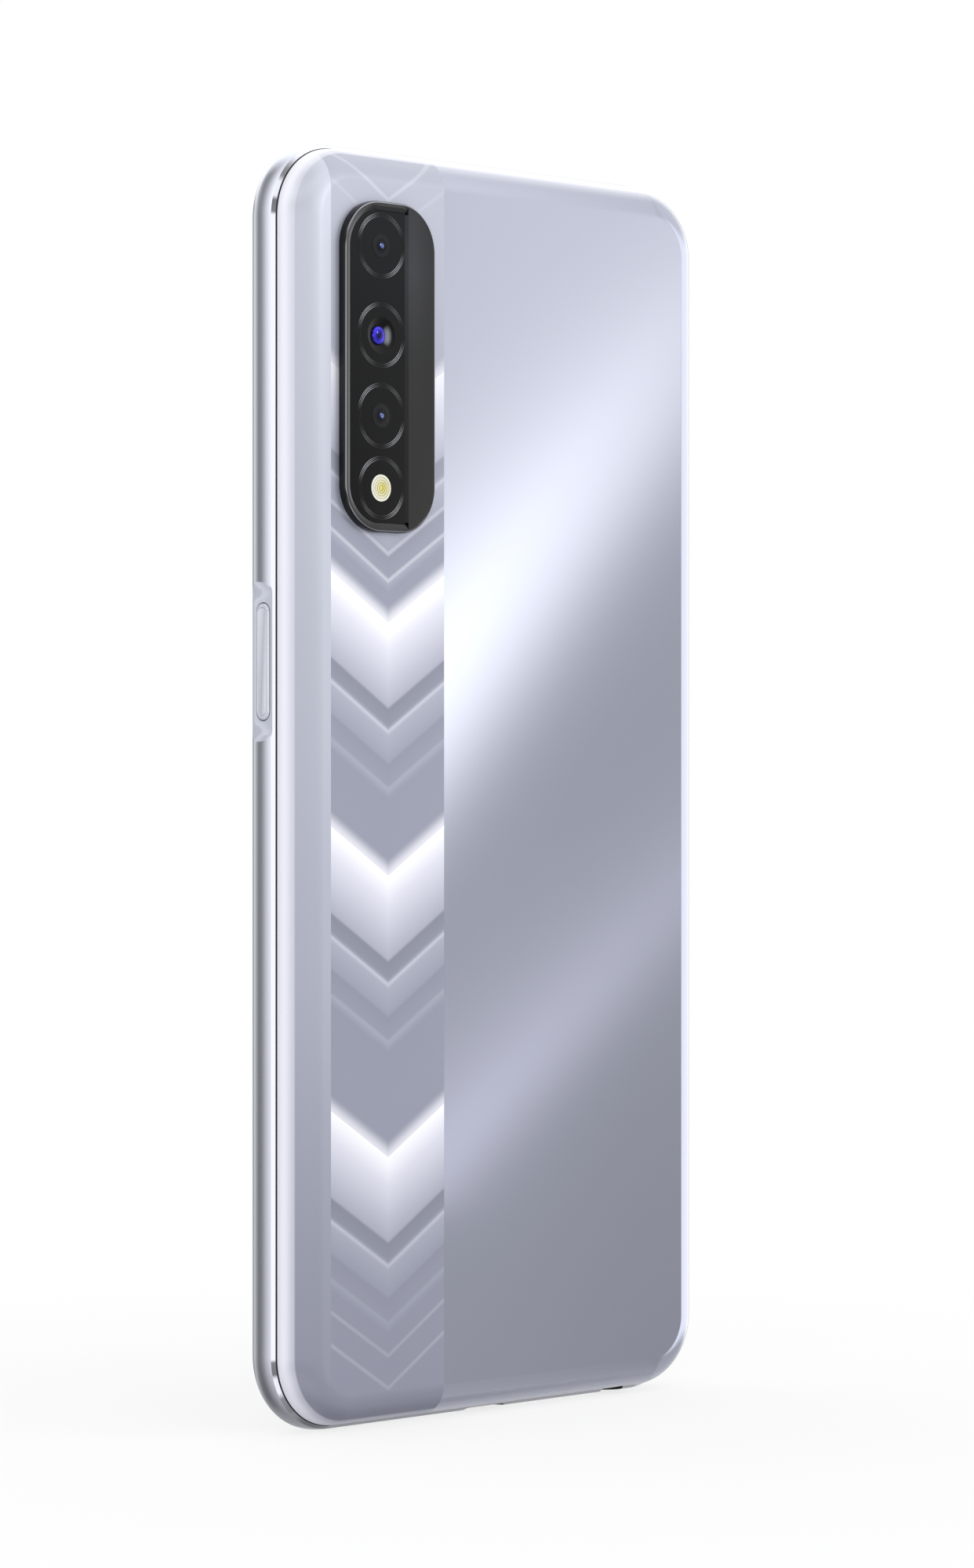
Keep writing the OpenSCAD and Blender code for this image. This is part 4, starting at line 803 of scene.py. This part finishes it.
def display_glass(glass, lens):
    """The front glass, with its edge rounded as the frame's, its earpiece slot and camera."""
    edge = FRAME_RIM + 0.05
    start = math.degrees(math.acos((FRONT_R - edge) / FRONT_R))
    curve = [(FRONT_R - FRONT_R * math.cos(math.radians(a)),
              RIM_Y - FRONT_R * math.sin(math.radians(a)))
             for a in [start + (90 - start) * i / 12 for i in range(13)]]
    made = swept("front_glass", [(edge, GLASS_BACK)] + curve, outline, [glass], caps=(True, True))
    cut(made, [prism("earpiece_slot", turned_slot(EARPIECE_Z, 0, EARPIECE_H, EARPIECE_W),
                     -6, -3, "y", glass),
               prism("camera_hole", disc_points(PUNCH_X, PUNCH_Z, 1.25), -5, -4.3, "y", glass)])
    smooth(made, 30)
    dress(made, "cover_glass", "display_glass")
    bulb = [(1.23, -4.3), (1.23, -4.35)] + dome(1.23, -4.35, -0.18)
    front = smooth(swept("front_camera_glass", bulb,
                         lambda r: disc_points(PUNCH_X, PUNCH_Z, r, 48), [lens]), 50)
    dress(front, "lens_glass")


def window_points(shrink, arc=20):
    """The window's outline: straight on the strip's side, round on the other."""
    x0, x1 = WINDOW_X0 + shrink, WINDOW_X1 - shrink
    z0, z1 = WINDOW_Z0 + shrink, WINDOW_Z1 - shrink
    r = WINDOW_R - shrink
    turns = [math.pi / 2 * i / arc for i in range(arc + 1)]
    return ([(x1 - r + r * math.cos(t), z1 - r + r * math.sin(t)) for t in turns]
            + [(x0, z1), (x0, z0)]
            + [(x1 - r + r * math.sin(t), z0 + r - r * math.cos(t)) for t in turns])


def camera_island(black, edge, strip, glass):
    """The island's frame with its cut edge and sloping land, its side strip, and the window."""
    def ring(inset):
        return outline(inset, *ISLAND, 20)
    edge_r = 0.35
    curve = [(edge_r - edge_r * math.cos(math.radians(a)),
              ISLAND_BACK - edge_r + edge_r * math.sin(math.radians(a))) for a in range(0, 91, 15)]
    profile = [(0.8, 3.25), (0.8, BACK_Y), (0.0, BACK_Y)] + curve
    profile += [(edge_r + 0.04, ISLAND_BACK), (LAND_W, WINDOW_BACK), (1.6, WINDOW_BACK)]
    marks = [0, 0, 0] + [0, 0, 0, 1, 1, 0] + [0, 0, 0, 0]
    bezel = swept("island_frame", profile, ring, [black, edge], caps=(True, True), marks=marks)
    cut(bezel, [prism("window_seat", window_points(0), WINDOW_FRONT, 6, "y", black),
                prism("window_hole", window_points(0.9), 3, 6, "y", black)])
    smooth(bezel, 35)
    dress(bezel, "bezel_black", "camera_bezel")
    # the strip stands level with the island's top, inside the cut edge
    x0, x1 = ISLAND_X - ISLAND_W / 2 + edge_r, WINDOW_X0
    z0, z1 = ISLAND_Z - ISLAND_H / 2 + edge_r, ISLAND_Z + ISLAND_H / 2 - edge_r
    r = ISLAND_R - edge_r
    first = math.degrees(math.asin((x0 + r - x1) / r))
    points = arc_points(x0 + r, z0 + r, r, 270 - first, 180, 20)
    points += arc_points(x0 + r, z1 - r, r, 180, 90 + first, 20)
    dress(prism("island_strip", points, WINDOW_BACK - 0.1, ISLAND_BACK - 0.01, "y", strip),
          "bezel_black")
    slope = [(x1 - 0.01, WINDOW_BACK + 0.005), (x1 - 0.01, ISLAND_BACK - 0.01),
             (x1 + 0.35, WINDOW_BACK + 0.005)]
    dress(prism("strip_slope", slope, 114.6, 153.5, "z", strip), "bezel_black")
    pane = prism("island_window", window_points(0.05), WINDOW_FRONT, WINDOW_BACK, "y", glass)
    cut(pane, [prism("flash_hole", disc_points(LENS_X, FLASH_Z, FLASH_R), 4, 6, "y", glass),
               prism("main_opening", disc_points(LENS_X, MAIN_Z, MAIN_R), 4, 6, "y", glass)])
    smooth(pane, 30)
    dress(pane, "window_glass", "camera_window")


def camera_fronts(barrel, main_glass, small_glass, smoked):
    """What shows of the cameras: the main one's cone and dome, and the small ones' dark discs."""
    def turned(name, z, profile, materials, marks):
        return smooth(swept(name, profile, lambda r: disc_points(LENS_X, z, r, 64), materials,
                            marks=marks), 50)
    cone = [(MAIN_R, 4.3), (MAIN_R, WINDOW_BACK - 0.03), (MAIN_R - 0.2, WINDOW_BACK - 0.06),
            (MAIN_PUPIL_R + 0.08, 4.8), (MAIN_PUPIL_R, 4.78)]
    pupil = dome(MAIN_PUPIL_R, 4.78, 0.36)
    main = turned("main_camera_front", MAIN_Z, cone + pupil, [barrel, main_glass],
                  [0] * len(cone) + [1] * len(pupil))
    dress(main, "lens_glass", "main_lens")
    disc = [(SMALL_R, WINDOW_BACK - 0.02), (SMALL_R, WINDOW_BACK + 0.02),
            (PUPIL_R, WINDOW_BACK + 0.04)]
    pupil = dome(PUPIL_R, WINDOW_BACK + 0.04, 0.1)
    for name, z in (("top", TOP_Z), ("low", LOW_Z)):
        made = turned(name + "_camera_front", z, disc + pupil, [smoked, small_glass],
                      [0, 0, 1] + [1] * len(pupil))
        dress(made, "lens_glass", name + "_lens")


def ring_tree(material):
    """Geometry Nodes: fine rings of one radius step round a point, swept with a small bead."""
    tree = bpy.data.node_groups.new("turned_ring_set", "GeometryNodeTree")
    face = tree.interface
    face.new_socket("Geometry", in_out="OUTPUT", socket_type="NodeSocketGeometry")
    for name, value in (("Outer radius", 4.08), ("Step", 0.21), ("Bead", 0.042)):
        socket = face.new_socket(name, in_out="INPUT", socket_type="NodeSocketFloat")
        socket.default_value = value
    face.new_socket("Count", in_out="INPUT", socket_type="NodeSocketInt").default_value = 3
    given = add_node(tree, "NodeGroupInput").outputs
    points = add_node(tree, "GeometryNodeMeshLine", None, Count=given["Count"], Offset=(0, 0, 0))
    place = add_node(tree, "GeometryNodeInputIndex").outputs[0]
    radius = minus(tree, given["Outer radius"], times(tree, place, given["Step"]))
    circle = add_node(tree, "GeometryNodeCurvePrimitiveCircle", None, Resolution=72, Radius=1.0)
    spread = add_node(tree, "GeometryNodeInstanceOnPoints", None, Points=points.outputs[0],
                      Instance=circle.outputs[0], Scale=radius)
    real = add_node(tree, "GeometryNodeRealizeInstances", None, Geometry=spread.outputs[0])
    bead = add_node(tree, "GeometryNodeCurvePrimitiveCircle", None, Resolution=6,
                    Radius=given["Bead"])
    beads = add_node(tree, "GeometryNodeCurveToMesh", None, Curve=real.outputs[0],
                     Profile_Curve=bead.outputs[0])
    painted = add_node(tree, "GeometryNodeSetMaterial", None, Geometry=beads.outputs[0],
                       Material=material)
    out = add_node(tree, "NodeGroupOutput")
    tree.links.new(painted.outputs[0], out.inputs[0])
    return tree


def camera_rings(material):
    """Fine rings round each camera and the flash, in one mesh."""
    tree = ring_tree(material)
    joined = bmesh.new()
    for z in (TOP_Z, MAIN_Z, LOW_Z, FLASH_Z):
        seed = new_object("ring_seed", bpy.data.meshes.new("ring_seed"))
        modifier = seed.modifiers.new("rings", "NODES")
        modifier.node_group = tree
        sizes = {item.name: item.identifier for item in tree.interface.items_tree
                 if item.item_type == "SOCKET" and item.in_out == "INPUT"}
        if z == FLASH_Z:
            modifier[sizes["Outer radius"]] = 3.95
        bpy.context.view_layer.update()
        plain_mesh(seed)
        piece = bmesh.new()
        piece.from_mesh(seed.data)
        for vertex in piece.verts:
            x, y, depth = vertex.co
            vertex.co = Vector((LENS_X + x, WINDOW_BACK + depth, z + y)) * MM
        piece.to_mesh(seed.data)
        piece.free()
        joined.from_mesh(seed.data)
        bpy.data.objects.remove(seed)
    bmesh.ops.recalc_face_normals(joined, faces=joined.faces)
    data = bpy.data.meshes.new("camera_rings")
    joined.to_mesh(data)
    joined.free()
    data.materials.append(material)
    return dress(smooth(new_object("camera_rings", data), 60), "bezel_black")


# ---------- floor and light ----------

def studio_world():
    """Plain light for matt surfaces. Gloss sees a studio fixed in the world: darker below than
    above, a dark gap between the lights in front, and a bright wall at the far side."""
    world = bpy.data.worlds.new("studio")
    bpy.context.scene.world = world
    world.use_nodes = True
    tree = world.node_tree
    tree.nodes.clear()
    way = add_node(tree, "ShaderNodeTexCoord").outputs["Generated"]
    x, y, z = add_node(tree, "ShaderNodeSeparateXYZ", None, _0=way).outputs[:3]
    side = between(tree, x, -0.3, 0.3)
    flat = maths(tree, "ABSOLUTE", z)
    # in front of the screen: the gap between the lights lies on the power key's side
    gap = levels(tree, y, -1, 0, [(-1, 1.05), (-0.93, 0.8), (-0.80, 0.55), (-0.742, 0.42),
                                  (-0.70, 0.27), (-0.66, 0.24), (-0.62, 0.31), (-0.57, 0.46),
                                  (-0.53, 0.64), (-0.48, 0.84), (-0.43, 1.02), (-0.39, 1.18),
                                  (-0.34, 1.3), (0, 1.35)])
    height = levels(tree, z, -1, 1, [(-1, 0.45), (-0.5, 0.6), (-0.12, 0.76), (0.1, 1.05),
                                     (0.5, 1.2), (1, 1.2)])
    gap = times(tree, gap, height)
    # straight behind the phone it is dark, which draws its far outline
    beyond = times(tree, between(tree, y, -0.66, -0.58, 1.0, 0.0),
                   between(tree, flat, 0.2, 0.3, 1.0, 0.0))
    ceiling = levels(tree, z, -1, 1, [(-1, 0.3), (-0.5, 0.4), (-0.2, 0.7), (0.1, 1.4), (1, 1.4)])
    front = mixed_value(tree, side, mixed_value(tree, beyond, ceiling, 0.3), gap)
    # behind the phone: rings of light on the key's side, a slow rise from floor to ceiling beside
    rings = levels(tree, flat, 0, 1, [(0, 1.3), (0.155, 1.3), (0.21, 0.3), (0.43, 0.25), (0.5, 1.2),
                                      (0.72, 1.2), (0.8, 0.35), (0.93, 0.3), (1, 1.1)])
    rise = levels(tree, z, -1, 1, [(-1, 0.15), (-0.75, 0.2), (-0.65, 0.65), (-0.25, 0.62),
                                   (-0.14, 0.56), (-0.1, 0.6), (-0.05, 0.66), (0, 0.71),
                                   (0.04, 0.78), (0.07, 0.87), (0.1, 1.0), (0.14, 1.2),
                                   (0.3, 1.3), (1, 1.3)])
    rise = times(tree, rise, between(tree, x, -0.745, -0.69, 0.87, 1.18))
    back = mixed_value(tree, side, rise, rings)
    level = mixed_value(tree, between(tree, y, -0.3, 0.1), front, back)
    # the bright wall that the far edge of the back shows
    wall = levels(tree, y, -1, 1, [(-1, 0.3), (-0.5, 0.3), (-0.36, 2.0), (1, 2.0)])
    reach = times(tree, between(tree, x, -0.785, -0.75, 1.0, 0.0),
                  between(tree, flat, 0.16, 0.3, 1.0, 0.15))
    level = mixed_value(tree, reach, level, wall)
    studio = add_node(tree, "ShaderNodeBackground", None, Color=level, Strength=1.0)
    soft = add_node(tree, "ShaderNodeBackground", None, Color=srgb("FFFFFF"), Strength=1.0)
    camera, gloss = seen_by(tree)
    shown = mixed_shader(tree, camera, mixed_shader(tree, gloss, soft, studio), soft)
    add_node(tree, "ShaderNodeOutputWorld", None, Surface=shown.outputs[0])


FLOOR_REACH = 3000
# the eye as the band cards use it: its x, and its distance from the plane of the back
EYE_X, EYE_REACH = 418.7, 416.25


def pale_floor():
    """A pale paper floor that shows as plain white, with a faint shadow at the phone's foot.
    Gloss looks through it to the studio's own darker lower half."""
    made, tree, shader = new_material("pale_paper", "F6F6F8", 0.0, Roughness=1.0)
    x, y, _ = object_axes(tree)[:3]
    away = distance(tree, x, y)
    white = add_node(tree, "ShaderNodeEmission", None, Color=srgb("FFFFFF"), Strength=1.0)
    clear = add_node(tree, "ShaderNodeBsdfTransparent")
    camera, gloss = seen_by(tree)
    share = times(tree, camera, between(tree, away, 35.0, 200.0, 0.78, 1.0))
    shown = mixed_shader(tree, gloss, mixed_shader(tree, share, shader, white), clear)
    tree.links.new(shown.outputs[0], tree.nodes["Material Output"].inputs["Surface"])
    corners = [(x, y, 0) for x, y in box(-FLOOR_REACH, FLOOR_REACH, -FLOOR_REACH, FLOOR_REACH)]
    mesh_object("floor", corners, [(0, 1, 2, 3)], [made])


def band_card(name, card_y, start, end, low_w, high_w, tint, strength, fade):
    """A soft light band on a card beside the camera, which the back reflects. start and end are
    the band's ends as (x, z) where they show on the back; widths are in millimetres there."""
    t = (card_y - BACK_Y) / EYE_REACH
    def on_card(x, z):
        return x - t * (EYE_X - x), z + t * (z - EYE[2])
    made = bpy.data.materials.new(name)
    made.use_nodes = True
    tree = made.node_tree
    tree.nodes.clear()
    x, _, z = object_axes(tree)[:3]
    # back to where the card's point shows on the phone
    px = maths(tree, "DIVIDE", plus(tree, x, t * EYE_X), 1 + t)
    pz = maths(tree, "DIVIDE", plus(tree, z, t * EYE[2]), 1 + t)
    slope = (end[1] - start[1]) / (end[0] - start[0])
    line = maths(tree, "MULTIPLY_ADD", minus(tree, px, start[0]), slope, start[1])
    gap = times(tree, minus(tree, pz, line), 1 / math.hypot(1, slope))
    below = maths(tree, "POWER", between(tree, gap, -low_w, 0.0), 1.7)
    over = maths(tree, "MAXIMUM", minus(tree, gap, 0.35 * high_w), 0.0)
    over = maths(tree, "EXPONENT", maths(tree, "DIVIDE", over, -high_w))
    power = times(tree, below, over, between(tree, gap, 2.5 * high_w, 3.8 * high_w, 1.0, 0.0),
                  between(tree, px, end[0], start[0], fade, 1.0, soft=False),
                  between(tree, px, 20.0, 36.0, 1.0, 0.0),
                  between(tree, px, end[0] - 18, end[0] - 4, 0.0, 1.0))
    glow = add_node(tree, "ShaderNodeEmission", None, Color=srgb(tint), Strength=strength)
    clear = add_node(tree, "ShaderNodeBsdfTransparent")
    add_node(tree, "ShaderNodeOutputMaterial", None,
             Surface=mixed_shader(tree, power, clear, glow).outputs[0])
    x0, _ = on_card(end[0] - 19, 0)
    x1, _ = on_card(37, 0)
    _, z0 = on_card(0, min(start[1], end[1]) - 30)
    _, z1 = on_card(0, max(start[1], end[1]) + 5 * high_w)
    corners = [(x, card_y, z) for x, z in box(x0, x1, max(z0, 1.0), z1)]
    card = mesh_object(name, corners, [(0, 1, 2, 3)], [made])
    for ray in ("camera", "diffuse", "shadow", "transmission", "volume_scatter"):
        setattr(card, "visible_" + ray, False)


def stage_and_light():
    """World, floor, reflected bands and one small lamp for the sparkle in the lenses."""
    studio_world()
    pale_floor()
    band_card("band_upper", 200.0, (11.8, 95.0), (-33.1, 138.5), 22.0, 13.5, "FFFFFA", 2.9, 0.45)
    band_card("band_lower", 208.0, (11.8, 33.0), (-30.0, 63.8), 11.0, 7.0, "FCFBFF", 1.5, 0.5)
    lamp = bpy.data.lights.new("sparkle", "AREA")
    lamp.size, lamp.energy = 0.05, 0.12
    made = new_object("sparkle", lamp)
    made.location = (-0.233, 0.42, 0.263)
    aim = Vector((0.024, 0.005, 0.138)) - made.location
    made.rotation_euler = aim.to_track_quat("-Z", "Y").to_euler()
    bpy.context.scene.view_settings.view_transform = "Standard"


def main():
    make_camera()
    film, pane, front = pearl_film(), printed_glass(), screen_glass()
    plain = {slot_name: worked(*finish) for slot_name, finish in FINISHES.items()}
    main_glass = coated_lens("coated_main_lens", 1.24,
                             [(0.0, "100C38"), (0.3, "161052"), (0.55, "2E27A8"), (0.75, "423BD8"),
                              (0.9, "2A2496"), (1.0, "0C0A34")])
    # painted highlight: the pale blue ring round the small lens's middle
    small_glass = coated_lens("coated_small_lens", 0.5,
                              [(0.0, "1A2038"), (0.35, "6C7CB4"), (0.6, "2A3358"), (1.0, "0A0B10")])
    plain.update(lens_glass=main_glass, flash_lens_clear=flash_lens_clear(),
                 cover_plastic=film, cover_glass=front, window_glass=pane)
    slots = {part["node"]: part["material_slot"] for part in FRAME["record"]["subparts"]}
    for name, node in NODES.items():
        node.data.materials.clear()
        node.data.materials.append(plain[slots[name]])
    back_cover(film, plain["inner_plastic"])
    side_frame(plain["frame_plastic"], plain["polish"], plain["inner_plastic"], plain["recess"])
    display_glass(front, plain["front_lens"])
    camera_island(plain["bezel_black"], plain["cut_edge"], strip_lacquer(), pane)
    camera_fronts(cone_alloy(), main_glass, small_glass, smoked_disc())
    camera_rings(turned_rings("turned_rings"))
    softened("power_button", "key_plastic", 0.12, "power_key")
    softened("fingerprint_sensor", "sensor_coating", 0.03, "power_key")
    softened("volume_up_button", "key_plastic", 0.15, "volume_up_key")
    softened("volume_down_button", "key_plastic", 0.15, "volume_down_key")
    softened("sim_tray", "key_plastic", 0.06, "card_tray")
    stage_and_light()


main()
